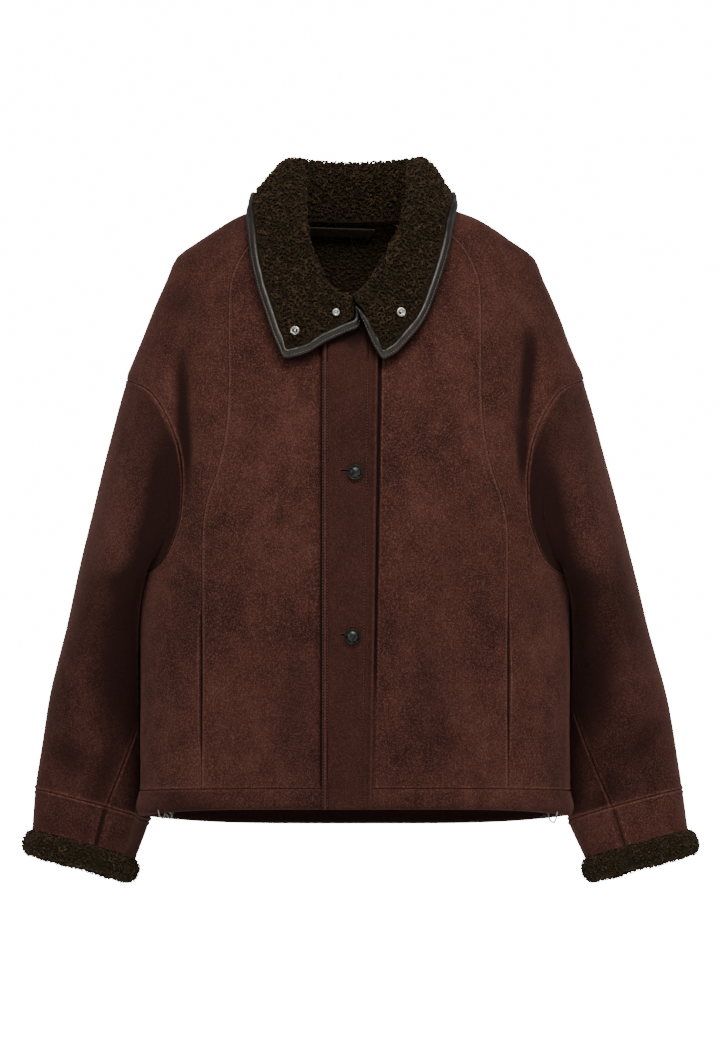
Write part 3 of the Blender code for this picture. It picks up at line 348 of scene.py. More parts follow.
def body_normal(x, z, back):
    """Outward normals by small steps along the section and down the body."""
    w = half_width(z)
    turn = np.arcsin(np.clip(np.abs(x) / w, 0, 1))
    turn = np.clip(turn, 0.02, math.pi / 2 - 0.03)
    side = np.where(x < 0, -1.0, 1.0)
    step = 0.01

    def at(a, dz):
        zz = np.clip(z + dz, BODY[-1, 0], BODY[0, 0])
        return body_surface(side * half_width(zz) * np.sin(a), zz, back)

    across = (at(turn + step, 0) - at(turn - step, 0)) * side[:, None]
    n = unit(np.cross(at(turn, -1.5) - at(turn, 1.5), across))
    n = np.where((n[:, 1:2] > 0) == back, n, -n)
    near_edge = np.clip((np.abs(x) / w - 0.985) / 0.015, 0, 1)[:, None] ** 2
    flat = unit(n * np.array([1.0, 0.0, 1.0]))
    return unit(n * (1 - near_edge) + flat * near_edge)


def body(x, z, back=False, out=0.0):
    """Points of the coat's outer surface at (x, z), moved out by a distance."""
    x, z = np.broadcast_arrays(np.asarray(x, float), np.asarray(z, float))
    points = body_surface(x.ravel(), z.ravel(), back)
    if np.any(out):
        out = np.broadcast_to(out, x.shape).ravel()[:, None]
        points = points + out * body_normal(x.ravel(), z.ravel(), back)
    return points.reshape(x.shape + (3,))


print("front of the chest:", body(0, -300.0).round(1))


# %% [markdown]
# ## Rows of the panels
# Every panel is a grid. Its rows run across the panel and are numbered as in the tables, and its
# columns run from one seam to the other. A grid for the eye needs steps of 4 to 5 mm on the flat
# and much finer ones at a seam, where the cut edge rolls over.

# %% Panels by row and column
def rows_at(table, stops, t):
    """Rows of a table read smoothly at t, with corners kept at the stops."""
    t = np.asarray(t, float)
    out = np.zeros((len(t), table.shape[1]))
    bounds = [0, *stops, len(table) - 1]
    for a, b in zip(bounds, bounds[1:]):
        here = (t >= a) & (t <= b)
        if here.any():
            out[here] = smooth(np.arange(a, b + 1), table[a:b + 1], t[here])
    return out


def edge_x(x, z):
    """An edge given as 0 is the outermost line of the body."""
    return np.where(x == 0, half_width(z), x)


def front_rows(t):
    table = FRONT_ROWS.copy()
    table[:, 3] = edge_x(table[:, 3], table[:, 4])
    return rows_at(table, (ROW_T, ROW_U), t)


def back_rows(t):
    table = BACK_ROWS.copy()
    table[:, 1] = edge_x(table[:, 1], table[:, 2])
    return rows_at(table, (BACK_T, BACK_U), t)


def neck_front(t):
    """The front neckline by its table's row number; below 0 it runs on over the middle."""
    p = smooth(np.arange(len(NECK_FRONT)), NECK_FRONT, np.abs(t))
    p[:, 0] *= np.where(np.asarray(t) < 0, -1, 1)
    return p


def neck_back_z(turn):
    rise = NECK_FRONT[-1, 1] - BACK_ROWS[0, 0]
    return BACK_ROWS[0, 0] + rise * (1 - np.cos(turn)) ** 0.9


def band_top(s, back):
    """Height of the seam over the hem band; s is 0 in the middle and 1 at the side."""
    return BACK_BAND_Z + 14.5 * s**4 if back else FRONT_BAND_Z - 3 * s**5


def hem(s, back):
    """Height of the hem's lower edge, named in the same way."""
    return BACK_HEM_Z + 10 * s**4 if back else FRONT_HEM_Z - 8.5 * s**5


def steps(length, coarse=3.2, fine=(0, 0.3, 0.75, 1.3, 1.9, 2.7, 3.7, 4.9, 6.3, 8.2)):
    """Places from 0 to 1 along a length: close together at both ends, wider in the middle."""
    fine = np.array(fine)
    middle = np.linspace(fine[-1], length - fine[-1], max(3, int((length - 2 * fine[-1]) / coarse)))
    return np.concatenate([fine, middle[1:-1], length - fine[::-1]]) / length


print("columns over a panel of 150 mm:", len(steps(150)))


# %% Where the panels lie
def front_centre_at(side, t, u):
    """From under the placket to the long seam, on one side of the coat."""
    rows = front_rows(t)
    reach = FRONT_MIDDLE[side] * side
    start = np.sign(reach) * np.interp(abs(reach), NECK_FRONT[:7, 0], np.arange(7))
    at = start + (PRINCESS_TOP - start) * u
    neck = neck_front(at)
    neck[:, 1] -= np.where(at < 0, UNDERLAP_DROP, 0.0)
    x = reach + (rows[:, 1:2] - reach) * u
    z = rows[:, 0:1] + (rows[:, 2:3] - rows[:, 0:1]) * u
    fade = np.clip(1 - t / 4, 0, 1)[:, None]
    base_x = reach + (FRONT_ROWS[0, 1] - reach) * u
    base_z = FRONT_ROWS[0, 0] + (FRONT_ROWS[0, 2] - FRONT_ROWS[0, 0]) * u
    x = x + (neck[:, 0] - base_x) * fade
    z = z + (neck[:, 1] - base_z) * fade
    low = np.clip((t[:, None] - 18.5) / 0.5, 0, 1)
    z = z * (1 - low) + band_top(np.abs(x) / half_width(z), False) * low
    return x * side, z


def front_side_at(side, t, u):
    """From the long seam out to the shoulder, the sleeve seam and the side seam."""
    rows = front_rows(t)
    neck = neck_front(PRINCESS_TOP + (len(NECK_FRONT) - 1 - PRINCESS_TOP) * u)
    neck_turn = np.arcsin(np.clip(neck[:, 0] / half_width(neck[:, 1]), 0, 1))
    a0 = np.arcsin(np.clip(rows[:, 1] / half_width(rows[:, 2]), 0, 1))
    a1 = np.arcsin(np.clip(rows[:, 3] / half_width(rows[:, 4]), 0, 1))
    outermost = (t <= ROW_T) | (t >= ROW_U)
    a1 = np.where(outermost, math.pi / 2, a1)[:, None]
    turn = a0[:, None] + (a1 - a0[:, None]) * u
    z = rows[:, 2:3] + (rows[:, 4:5] - rows[:, 2:3]) * u
    fade = np.clip(1 - t / 3, 0, 1)[:, None]
    base = neck_turn[0] + (math.pi / 2 - neck_turn[0]) * u
    turn = np.minimum(turn + (neck_turn - base) * fade, a1)
    z = z + (neck[:, 1] - (NECK_FRONT[PRINCESS_TOP, 1] * (1 - u) + NECK_FRONT[-1, 1] * u)) * fade
    low = np.clip((t[:, None] - 18.5) / 0.5, 0, 1)
    z = z * (1 - low) + band_top(np.sin(turn), False) * low
    return side * half_width(z) * np.sin(np.clip(turn, 0, math.pi / 2)), z


def back_at(t, u):
    """The whole back: u runs from -1 to 1, from side to side."""
    rows = back_rows(t)
    v = np.abs(u)[None, :]
    a1 = np.arcsin(np.clip(rows[:, 1] / half_width(rows[:, 2]), 0, 1))
    outermost = (t <= BACK_T) | (t >= BACK_U)
    turn = np.where(outermost, math.pi / 2, a1)[:, None] * v
    low = np.clip((t - BACK_U) / (len(BACK_ROWS) - 1 - BACK_U), 0, 1)[:, None]
    rise = rows[:, 2:3] - rows[:, 0:1]
    z = rows[:, 0:1] + rise * (v**1.5 * (1 - low) + np.sin(turn) ** 4 * low)
    base_z = BACK_ROWS[0, 0] + (BACK_ROWS[0, 2] - BACK_ROWS[0, 0]) * v**1.5
    z = z + (neck_back_z(v * math.pi / 2) - base_z) * np.clip(1 - t / 3, 0, 1)[:, None]
    return np.sign(u) * half_width(z) * np.sin(turn), z


x, z = back_at(np.linspace(0, 18, 5), np.linspace(-1, 1, 5))
print("back from", z.max().round(1), "to", z.min().round(1), "mm")

# %% [markdown]
# ## The sleeves
# A sleeve is a row of slanted rings. Ring 0 is the armhole and lies in the body's own edge, and
# ring 10 is the seam above the cuff. A point on a ring is named by its angle: 0 is the outer line,
# 90 degrees the front and 180 the inner line. The cuff carries on from ring 10, a little narrower
# as it goes and swung away from the body.

# %% Points of a sleeve
def armhole(rear):
    if rear:
        table = BACK_ROWS[BACK_T:BACK_U + 1, 1:]
    else:
        table = FRONT_ROWS[ROW_T:ROW_U + 1, 3:]
    x = edge_x(table[:, 0], table[:, 1])
    return lambda z: smooth(table[:, 1], x, z)


def clear_of_body(points, room):
    """Moves sleeve points that would touch the body out along x, to the body's side plus room."""
    out = points.copy()
    w, front, rear = smooth(BODY[:, 0], BODY[:, 1:], points[:, 2]).T
    depth = np.where(points[:, 1] > 0, rear, front)
    s = np.clip(np.abs(points[:, 1]) / (depth + room), 0, 1)
    out[:, 0] = np.maximum(points[:, 0], (w + room) * (1 - s**ROUNDNESS) ** (1 / ROUNDNESS))
    return out


def sleeve_point(ring, angle, side):
    """Points of a sleeve's outer surface, as for the right sleeve: ring 0..10, angle in radians."""
    ring, angle = np.broadcast_arrays(np.asarray(ring, float), np.asarray(angle, float))
    shape = ring.shape
    ring, angle = ring.ravel(), np.mod(angle.ravel() + math.pi, 2 * math.pi) - math.pi
    ox, oz, oy, ix, iz, iy, fy, by, pull, lift = smooth(np.arange(len(SLEEVE)), SLEEVE, ring).T
    c, s = np.cos(angle), np.sin(angle)
    c = np.sign(c) * np.abs(c) ** SLEEVE_ROUND
    s = np.sign(s) * np.abs(s) ** SLEEVE_ROUND
    x = (ox + ix) / 2 + (ox - ix) / 2 * c
    z = (oz + iz) / 2 + (oz - iz) / 2 * c
    y_mid = (oy + iy) / 2 + (oy - iy) / 2 * c
    y = np.where(s > 0, y_mid + (fy - (oy + iy) / 2) * s, y_mid - (by - (oy + iy) / 2) * s)
    away = unit(np.stack([oz - iz, ix - ox], -1))
    x = x - pull * s**2 * np.abs(away[:, 0])
    z = z + lift * s
    points = np.stack([x, y, z], -1)
    points[:, 0] += SLEEVE_OUT[side] * np.clip((-200 - z) / 450, 0, 1)
    points = clear_of_body(points, SLEEVE_ROOM)
    level = SLEEVE[0, 1] + (SLEEVE[0, 4] - SLEEVE[0, 1]) * (1 - np.cos(angle)) / 2
    front, rear = armhole(False), armhole(True)
    hole = np.where((s > 0)[:, None], body(front(level), level),
                    body(rear(level), level, back=True))
    near = eased(np.clip(1 - ring, 0, 1)[:, None])
    return (points * (1 - near) + hole * near).reshape(shape + (3,))


def sleeve_normal(ring, angle, side):
    step = 0.05
    lo, hi = np.clip(ring - step, 0, None), np.clip(ring + step, None, len(SLEEVE) - 1)
    along = sleeve_point(hi, angle, side) - sleeve_point(lo, angle, side)
    turn = sleeve_point(ring, angle + 0.03, side) - sleeve_point(ring, angle - 0.03, side)
    return unit(np.cross(turn, along))


def hole_angle(level):
    """The angle at which the sleeve's first ring is at a height."""
    share = (SLEEVE[0, 1] - level) / (SLEEVE[0, 1] - SLEEVE[0, 4])
    return math.acos(min(1, max(-1, 1 - 2 * share)))


FRONT_START = hole_angle(FRONT_ROWS[SLEEVE_FRONT_ROW, 4])
BACK_START = hole_angle(BACK_ROWS[SLEEVE_BACK_ROW, 2])


def sleeve_angles(ring, u, under):
    """Angles across the upper or the under half of a sleeve, from seam to seam."""
    front, rear = np.radians(smooth(SLEEVE_SEAMS[:, 0], SLEEVE_SEAMS[:, 1:], ring)).T
    share = np.clip(ring / 2.0, 0, 1)
    front = FRONT_START * (1 - share) + front * share
    rear = BACK_START * (1 - share) + rear * share
    if under:
        return front[:, None] + (2 * math.pi - rear - front)[:, None] * u
    return -rear[:, None] + (front + rear)[:, None] * u


def mirrored(points, side):
    return points * (side, 1, 1)


print("sleeve seams meet the armhole at", round(math.degrees(FRONT_START)), "and",
      round(math.degrees(BACK_START)), "degrees")


# %% Points of a cuff
def cuff_ring(down, angle, side, out=0.0):
    """Points round the cuff; down is 0 at its seam and 1 at the end of its band."""
    last = float(len(SLEEVE) - 1)
    whole = sleeve_point(last, np.linspace(0, 2 * math.pi, 61)[:-1], side)
    centre = whole.mean(axis=0)
    base = sleeve_point(np.full_like(angle, last), angle, side)
    shift = np.array([CUFF_OUT[side], CUFF_LEAN, -CUFF_DROP])
    squeeze = 1 - (1 - CUFF_SQUEEZE) * down
    radial = unit(base - centre)
    return centre + (base - centre) * squeeze + radial * out + shift * down


print("cuff end:", cuff_ring(1.0, np.array([0.0, math.pi]), 1).round(0).tolist())


# %% [markdown]
# ## The collar
# Stations run round the neck from the left front end to the right one. At each the fur rises from
# the neck seam, rolls over a fold and falls to the leaf's edge: two Bezier curves that meet at the
# fold. The leaf's last centimetre belongs to the leather binding.

# %% Points of the collar
def leaf_edge(x, z, lift):
    """The leaf's edge at this lift off the front; low down its own height is z."""
    level = min(z, SHOULDER_Z)
    edge = body(x, level, out=lift)
    goal = edge[2] + (z - edge[2]) * np.clip((EDGE_FREE - z) / (EDGE_FREE - EDGE_LEVEL), 0, 1)
    for _ in range(5):
        level += goal - edge[2]
        edge = body(x, min(level, SHOULDER_Z), out=lift)
    return edge + (0, 0, max(0, z - SHOULDER_Z))


def collar_stations():
    """Neck seam, its outward normal, fold and edge of every station, left front end to right."""
    rows = []
    for side in (-1, 1):
        part = []
        for row, fx, fy, fz, ex, ez, lift in COLLAR_FRONT[side]:
            nx, nz = neck_front([row])[0] * (side, 1)
            seam = body(nx, nz)
            edge = leaf_edge(ex, ez, lift)
            part.append((seam, body(nx, nz, out=1.0) - seam, (fx, fy, fz), edge))
        lean = 1.0 if side < 0 else COLLAR_RIGHT
        for row, fx, fy, fz, ex, ey, ez in COLLAR_SHOULDER:
            nx, nz = neck_front([row])[0] * (side, 1)
            seam = body(nx, nz)
            part.append((seam, body(nx, nz, out=1.0) - seam, (-fx * side, fy, fz),
                         (-ex * side * lean, ey, ez)))
        for turn, fx, fy, fz, ex, ey, ez in COLLAR_BACK[:None if side < 0 else -1]:
            nz = neck_back_z(math.radians(turn))
            nx = float(half_width(nz)) * math.sin(math.radians(turn)) * side
            seam = body(nx, nz, back=True)
            normal = body(nx, nz, back=True, out=1.0) - seam
            part.append((seam, normal, (-fx * side, fy, fz), (-ex * side * lean, ey, ez)))
        rows += part if side < 0 else part[::-1]
    return [np.array(column, float) for column in zip(*rows)]


def bezier(p0, p1, p2, p3, t):
    t = t[:, None]
    return (1 - t)**3 * p0 + 3 * (1 - t)**2 * t * p1 + 3 * (1 - t) * t**2 * p2 + t**3 * p3


def collar_grid(stations, steps_across):
    """Fur face of the collar: one row a station, from the neck seam over the fold to the edge."""
    seam, normal, fold, edge = collar_stations()
    last = len(seam) - 1
    keys = np.arange(last + 1)
    at = np.linspace(0, last, stations)
    seam, normal, fold, edge = (smooth(keys, v, at) for v in (seam, normal, fold, edge))
    normal = unit(normal)
    into = unit(np.cross(np.gradient(seam, axis=0), normal))
    into = np.where(((into * seam).sum(-1) > 0)[:, None], -into, into)
    fold_room = smooth(*FOLD_ROOM.T, np.minimum(at, last - at))
    t = np.linspace(0, 1, steps_across)
    rows = []
    for n, g, a, b, e, room in zip(normal, into, seam, fold, edge, fold_room):
        start = a + g * NECK_GAP - n * WALL
        over = unit(e - start) * room
        stand = bezier(start, start + g * 9 + (b - start) * 0.25, b - over, b, t)
        out = unit(over - (b - e) * np.dot(over, b - e) / np.dot(b - e, b - e))
        leaf = bezier(b, b + over, e + (b - e) * 0.45 + out * room * 0.35, e, t)
        rows.append(np.concatenate([stand, leaf[1:]]))
    return np.array(rows), normal


def grid_normals(grid):
    return unit(np.cross(np.gradient(grid, axis=0), np.gradient(grid, axis=1)))


print("collar stations:", len(collar_stations()[0]))

# %% [markdown]
# ## Studio
# The camera stands thirty metres off and level, so the coat is seen almost without perspective. The
# light is soft: a bright surrounding, a large panel in front and above, a weak one at each side, and
# one behind, which gives the shoulders their thin pale rim. The floor is plain and pale.

# %% Camera, floor and light
SENSOR = 24.0                 # millimetres
CAMERA_DISTANCE = 30.0        # metres
VIEW_HEIGHT = 1.1462          # metres seen from bottom to top at the coat
VIEW_X, VIEW_Z = 0.0055, -0.3223
SEEN_WHITE = 16.0             # strength of the floor and the surrounding where they are looked at


def add_camera():
    lens = bpy.data.cameras.new("portrait_camera")
    lens.sensor_fit = "VERTICAL"
    lens.sensor_height = SENSOR
    lens.lens = SENSOR * CAMERA_DISTANCE / VIEW_HEIGHT
    lens.clip_end = 200.0
    camera = bpy.data.objects.new("portrait_camera", lens)
    camera.location = (VIEW_X, -CAMERA_DISTANCE, VIEW_Z)
    camera.rotation_euler = (math.pi / 2, 0, 0)
    bpy.context.scene.collection.objects.link(camera)
    bpy.context.scene.camera = camera
    return camera


def white_where_seen(tree, seen, other):
    """A strength that is higher where it is looked at than where it only lights the coat."""
    ray = tree.nodes.new("ShaderNodeLightPath")
    node = tree.nodes.new("ShaderNodeMix")
    tree.links.new(ray.outputs["Is Camera Ray"], node.inputs["Factor"])
    node.inputs["A"].default_value = other
    node.inputs["B"].default_value = seen
    return node.outputs["Result"]


def add_floor(level=-0.93, half=80.0):
    mesh = bpy.data.meshes.new("studio_floor")
    corners = [(-half, -half, level), (half, -half, level), (half, half, level),
               (-half, half, level)]
    mesh.from_pydata(corners, [], [(0, 1, 2, 3)])
    floor = bpy.data.objects.new("studio_floor", mesh)
    bpy.context.scene.collection.objects.link(floor)
    paper = bpy.data.materials.new("pale_paper")
    paper.use_nodes = True
    shader = paper.node_tree.nodes["Principled BSDF"]
    shader.inputs["Base Color"].default_value = (0.9, 0.9, 0.9, 1)
    shader.inputs["Roughness"].default_value = 1.0
    shader.inputs["Specular IOR Level"].default_value = 0.0
    shader.inputs["Emission Color"].default_value = (1, 1, 1, 1)
    paper.node_tree.links.new(white_where_seen(paper.node_tree, SEEN_WHITE, 0.1),
                              shader.inputs["Emission Strength"])
    mesh.materials.append(paper)


def add_panel_light(name, place, aim, size, watts):
    lamp = bpy.data.lights.new(name, "AREA")
    lamp.shape = "RECTANGLE"
    lamp.size, lamp.size_y = size
    lamp.energy = watts
    light = bpy.data.objects.new(name, lamp)
    away = np.array(place) - np.array(aim)
    yaw = math.atan2(away[0], -away[1])
    pitch = math.atan2(math.hypot(away[0], away[1]), away[2])
    light.location = place
    light.rotation_euler = (pitch, 0, yaw)
    light.visible_glossy = place[1] < 0          # the one behind leaves no shine on edges
    bpy.context.scene.collection.objects.link(light)


def add_surrounding(strength, seen):
    world = bpy.data.worlds.new("white_studio")
    world.use_nodes = True
    tree = world.node_tree
    tree.nodes["Background"].inputs["Color"].default_value = (1, 1, 1, 1)
    tree.links.new(white_where_seen(tree, seen, strength),
                   tree.nodes["Background"].inputs["Strength"])
    bpy.context.scene.world = world


add_camera()
add_floor()
add_surrounding(0.30, SEEN_WHITE)
for name, place, size, watts in [
        ("key_panel", (0.2, -2.2, 2.3), (2.0, 1.1), 92),
        ("left_panel", (-2.5, -2.2, 0.7), (1.0, 1.6), 16),
        ("right_panel", (2.6, -2.2, 0.6), (1.0, 1.6), 14),
        ("rear_panel", (0.4, 3.0, 1.6), (2.4, 1.6), 22)]:
    add_panel_light(name, place, (0, 0, -0.33), size, watts)
print("camera:", bpy.context.scene.camera.name)

# %% [markdown]
# ## Finishes
# Suede is the fuzzed flesh side of a skin. From near, its nap shows pale and dark flecks a
# millimetre across; from further off it is cloudy, because the nap lies one way here and another
# way there. Two node groups hold this, one for the flecks and clouds and one for height, and each
# suede takes them with its own numbers. Sheen on the shader lights the nap at grazing angles, which
# gives suede its pale, warm rim.

# %% A small kit for shader nodes
def new_group(name, inputs, outputs):
    """A shader group with named inputs (with their start values) and outputs."""
    group = bpy.data.node_groups.new(name, "ShaderNodeTree")
    for label, value in inputs.items():
        kind = "NodeSocketFloat" if isinstance(value, (int, float)) else "NodeSocketColor"
        kind = "NodeSocketVector" if value is None else kind
        socket = group.interface.new_socket(label, in_out="INPUT", socket_type=kind)
        if value is not None:
            socket.default_value = value
    for label, kind in outputs.items():
        group.interface.new_socket(label, in_out="OUTPUT", socket_type=kind)
    return group, group.nodes.new("NodeGroupInput"), group.nodes.new("NodeGroupOutput")


def noise(tree, place, scale, detail=2.0, rough=0.5, stretch=None):
    """A noise texture read at a place; stretch squeezes it along the axes."""
    texture = tree.nodes.new("ShaderNodeTexNoise")
    texture.inputs["Scale"].default_value = scale
    texture.inputs["Detail"].default_value = detail
    texture.inputs["Roughness"].default_value = rough
    if stretch:
        mapping = tree.nodes.new("ShaderNodeMapping")
        mapping.inputs["Scale"].default_value = stretch
        tree.links.new(place, mapping.inputs["Vector"])
        place = mapping.outputs["Vector"]
    tree.links.new(place, texture.inputs["Vector"])
    return texture.outputs["Fac"]


def band(tree, value, low, high, to_low=0.0, to_high=1.0):
    """Spreads the part of a value between low and high over another range."""
    node = tree.nodes.new("ShaderNodeMapRange")
    node.interpolation_type = "SMOOTHSTEP"
    tree.links.new(value, node.inputs["Value"])
    node.inputs["From Min"].default_value = low
    node.inputs["From Max"].default_value = high
    node.inputs["To Min"].default_value = to_low
    node.inputs["To Max"].default_value = to_high
    return node.outputs["Result"]


def sums(tree, operation, a, b):
    node = tree.nodes.new("ShaderNodeMath")
    node.operation = operation
    for socket, value in zip(node.inputs, (a, b)):
        if isinstance(value, (int, float)):
            socket.default_value = value
        else:
            tree.links.new(value, socket)
    return node.outputs["Value"]


def blend_colours(tree, share, a, b):
    node = tree.nodes.new("ShaderNodeMix")
    node.data_type = "RGBA"
    for socket, value in ((node.inputs[0], share), (node.inputs[6], a), (node.inputs[7], b)):
        if isinstance(value, (int, float, tuple)):
            socket.default_value = value
        else:
            tree.links.new(value, socket)
    return node.outputs[2]


print("node kit ready")


# %% The suede groups
def suede_colour_group():
    tree, taken, given = new_group(
        "suede_colour",
        {"Place": None, "Skin": (0.06, 0.02, 0.015, 1), "Pale Nap": (0.16, 0.07, 0.05, 1),
         "Dark Nap": (0.02, 0.006, 0.005, 1), "Cloud": 0.5, "Fleck": 0.5, "Nap": 0.0},
        {"Colour": "NodeSocketColor"})
    place = taken.outputs["Place"]
    wide = noise(tree, place, 13.0, 3.0, 0.55, (1.0, 1.0, 0.7))
    near = noise(tree, place, 55.0, 2.0, 0.5, (1.0, 1.0, 0.8))
    clouds = sums(tree, "ADD", sums(tree, "MULTIPLY", wide, 0.65),
                  sums(tree, "MULTIPLY", near, 0.35))
    dull = sums(tree, "MULTIPLY", band(tree, clouds, 0.53, 0.36), taken.outputs["Cloud"])
    lit = sums(tree, "MULTIPLY", band(tree, clouds, 0.5, 0.66), taken.outputs["Cloud"])
    skin = blend_colours(tree, sums(tree, "MULTIPLY", dull, 0.75), taken.outputs["Skin"],
                         taken.outputs["Dark Nap"])
    skin = blend_colours(tree, sums(tree, "MULTIPLY", lit, 0.22), skin, taken.outputs["Pale Nap"])
    flecks = noise(tree, place, 640.0, 2.0, 0.85)
    speckle = band(tree, flecks, 0.50, 0.64)
    pale = sums(tree, "MULTIPLY", speckle, taken.outputs["Fleck"])
    dark = sums(tree, "MULTIPLY", band(tree, flecks, 0.50, 0.36), taken.outputs["Fleck"])
    skin = blend_colours(tree, pale, skin, taken.outputs["Pale Nap"])
    skin = blend_colours(tree, dark, skin, taken.outputs["Dark Nap"])
    # Above zero the Nap input turns the suede pale: rubbed nap on seam ridges, and painted highlight on
    # ridges, edges and low on the sides.
    worn = sums(tree, "MULTIPLY", band(tree, taken.outputs["Nap"], 0.05, 0.9),
                sums(tree, "ADD", speckle, 0.35))
    skin = blend_colours(tree, sums(tree, "MULTIPLY", worn, 0.7), skin, taken.outputs["Pale Nap"])
    # Below zero it turns it towards the dark nap colour: painted shade in seams, creases, crevices,
    # beside the body, under the collar and lower down, and the darker setting of the sleeves and left
    # cuff.
    darkened_share = sums(tree, "MULTIPLY", band(tree, taken.outputs["Nap"], -0.03, -1.0), 0.95)
    skin = blend_colours(tree, darkened_share, skin, taken.outputs["Dark Nap"])
    tree.links.new(skin, given.inputs["Colour"])
    return tree


def nap_height_group():
    tree, taken, given = new_group(
        "nap_height", {"Place": None, "Fine": 0.6, "Coarse": 0.4}, {"Height": "NodeSocketFloat"})
    place = taken.outputs["Place"]
    fine = noise(tree, place, 900.0, 2.0, 0.6)
    coarse = noise(tree, place, 170.0, 3.0, 0.6)
    height = sums(tree, "ADD", sums(tree, "MULTIPLY", fine, taken.outputs["Fine"]),
                  sums(tree, "MULTIPLY", coarse, taken.outputs["Coarse"]))
    tree.links.new(height, given.inputs["Height"])
    return tree


SUEDE_COLOUR = suede_colour_group()
NAP_HEIGHT = nap_height_group()
print("groups:", SUEDE_COLOUR.name, NAP_HEIGHT.name)


# %% [markdown]
# The wool side is hard to paint, because wool is thousands of curls. Real curls are laid over the
# collar and the cuffs further down. The ground under them, and the shorn inside of the coat, takes
# a cell pattern with round, raised cells for curls seen end on. Leather gets a fine pebble, long
# soft creases and a coat of wax that wears duller in places.

# %% The wool and leather groups
def wool_group():
    tree, taken, given = new_group(
        "wool_ground",
        {"Place": None, "Tip": (0.05, 0.035, 0.014, 1), "Root": (0.008, 0.005, 0.002, 1)},
        {"Colour": "NodeSocketColor", "Height": "NodeSocketFloat"})
    place = taken.outputs["Place"]
    bend = tree.nodes.new("ShaderNodeTexNoise")
    bend.inputs["Scale"].default_value = 120.0
    tree.links.new(place, bend.inputs["Vector"])
    shift = tree.nodes.new("ShaderNodeVectorMath")
    shift.operation = "MULTIPLY_ADD"
    tree.links.new(bend.outputs["Color"], shift.inputs[0])
    shift.inputs[1].default_value = (0.006, 0.006, 0.006)
    tree.links.new(place, shift.inputs[2])
    cells = tree.nodes.new("ShaderNodeTexVoronoi")
    cells.inputs["Scale"].default_value = 260.0
    tree.links.new(shift.outputs["Vector"], cells.inputs["Vector"])
    round_top = band(tree, cells.outputs["Distance"], 0.75, 0.05)
    fibre = noise(tree, place, 1100.0, 2.0, 0.6)
    height = sums(tree, "ADD", round_top, sums(tree, "MULTIPLY", fibre, 0.35))
    tufts = noise(tree, place, 60.0, 2.0, 0.5)
    # Paler on the raised cells and darker between them: the fibres' own paler tips, and painted shade in
    # the hollows of the pile.
    share = sums(tree, "MULTIPLY", sums(tree, "MULTIPLY", round_top,
                                        band(tree, tufts, 0.3, 0.7, 0.45, 1.0)),
                 band(tree, fibre, 0.3, 0.7, 0.6, 1.0))
    colour = blend_colours(tree, share, taken.outputs["Root"], taken.outputs["Tip"])
    tree.links.new(colour, given.inputs["Colour"])
    tree.links.new(height, given.inputs["Height"])
    return tree


def leather_group():
    tree, taken, given = new_group(
        "leather_grain",
        {"Place": None, "Deep": (0.01, 0.009, 0.008, 1), "Worn": (0.05, 0.045, 0.042, 1)},
        {"Colour": "NodeSocketColor", "Height": "NodeSocketFloat", "Roughness": "NodeSocketFloat"})
    place = taken.outputs["Place"]
    pebble = tree.nodes.new("ShaderNodeTexVoronoi")
    pebble.inputs["Scale"].default_value = 900.0
    tree.links.new(place, pebble.inputs["Vector"])
    crease = noise(tree, place, 140.0, 3.0, 0.6)
    soft = noise(tree, place, 38.0, 2.0, 0.5)
    height = sums(tree, "ADD", sums(tree, "MULTIPLY", band(tree, pebble.outputs["Distance"], 0.1,
                                                           0.7, 1.0, 0.0), 0.25),
                  sums(tree, "ADD", crease, soft))
    wear = sums(tree, "MULTIPLY", band(tree, crease, 0.45, 0.7), 0.6)
    tree.links.new(blend_colours(tree, wear, taken.outputs["Deep"], taken.outputs["Worn"]),
                   given.inputs["Colour"])
    tree.links.new(height, given.inputs["Height"])
    tree.links.new(band(tree, soft, 0.3, 0.7, 0.36, 0.52), given.inputs["Roughness"])
    return tree


WOOL_GROUND = wool_group()
LEATHER_GRAIN = leather_group()
print("groups:", WOOL_GROUND.name, LEATHER_GRAIN.name)


# %% Materials from the groups
def new_material(name, preview, **settings):
    """A material whose shader's own sockets are set, and the place on the piece to read."""
    material = bpy.data.materials.new(name)
    material.use_nodes = True
    material.diffuse_color = (*preview, 1)
    tree = material.node_tree
    shader = tree.nodes["Principled BSDF"]
    for label, value in settings.items():
        shader.inputs[label.replace("_", " ")].default_value = value
    place = tree.nodes.new("ShaderNodeTexCoord").outputs["Object"]
    return material, tree, shader, place


def use_group(tree, group, place, **values):
    node = tree.nodes.new("ShaderNodeGroup")
    node.node_tree = group
    tree.links.new(place, node.inputs["Place"])
    for label, value in values.items():
        node.inputs[label.replace("_", " ")].default_value = value
    return node


def raise_surface(tree, shader, height, distance, strength=1.0):
    bump = tree.nodes.new("ShaderNodeBump")
    bump.inputs["Distance"].default_value = distance
    bump.inputs["Strength"].default_value = strength
    tree.links.new(height, bump.inputs["Height"])
    tree.links.new(bump.outputs["Normal"], shader.inputs["Normal"])


def suede(name, skin, pale, dark, cloud, fleck, sheen):
    material, tree, shader, place = new_material(
        name, skin, Roughness=0.95, Specular_IOR_Level=0.15, Sheen_Weight=sheen,
        Sheen_Roughness=0.45, Sheen_Tint=(0.75, 0.36, 0.28, 1))
    colour = use_group(tree, SUEDE_COLOUR, place, Skin=(*skin, 1), Pale_Nap=(*pale, 1),
                       Dark_Nap=(*dark, 1), Cloud=cloud, Fleck=fleck)
    # Each piece's nap and painted light value: pale for rubbed nap and painted highlight, dark for
    # painted shade.
    nap = tree.nodes.new("ShaderNodeAttribute")
    nap.attribute_name = "nap"
    tree.links.new(nap.outputs["Fac"], colour.inputs["Nap"])
    height = use_group(tree, NAP_HEIGHT, place)
    tree.links.new(colour.outputs["Colour"], shader.inputs["Base Color"])
    raise_surface(tree, shader, height.outputs["Height"], 0.0006)
    return material


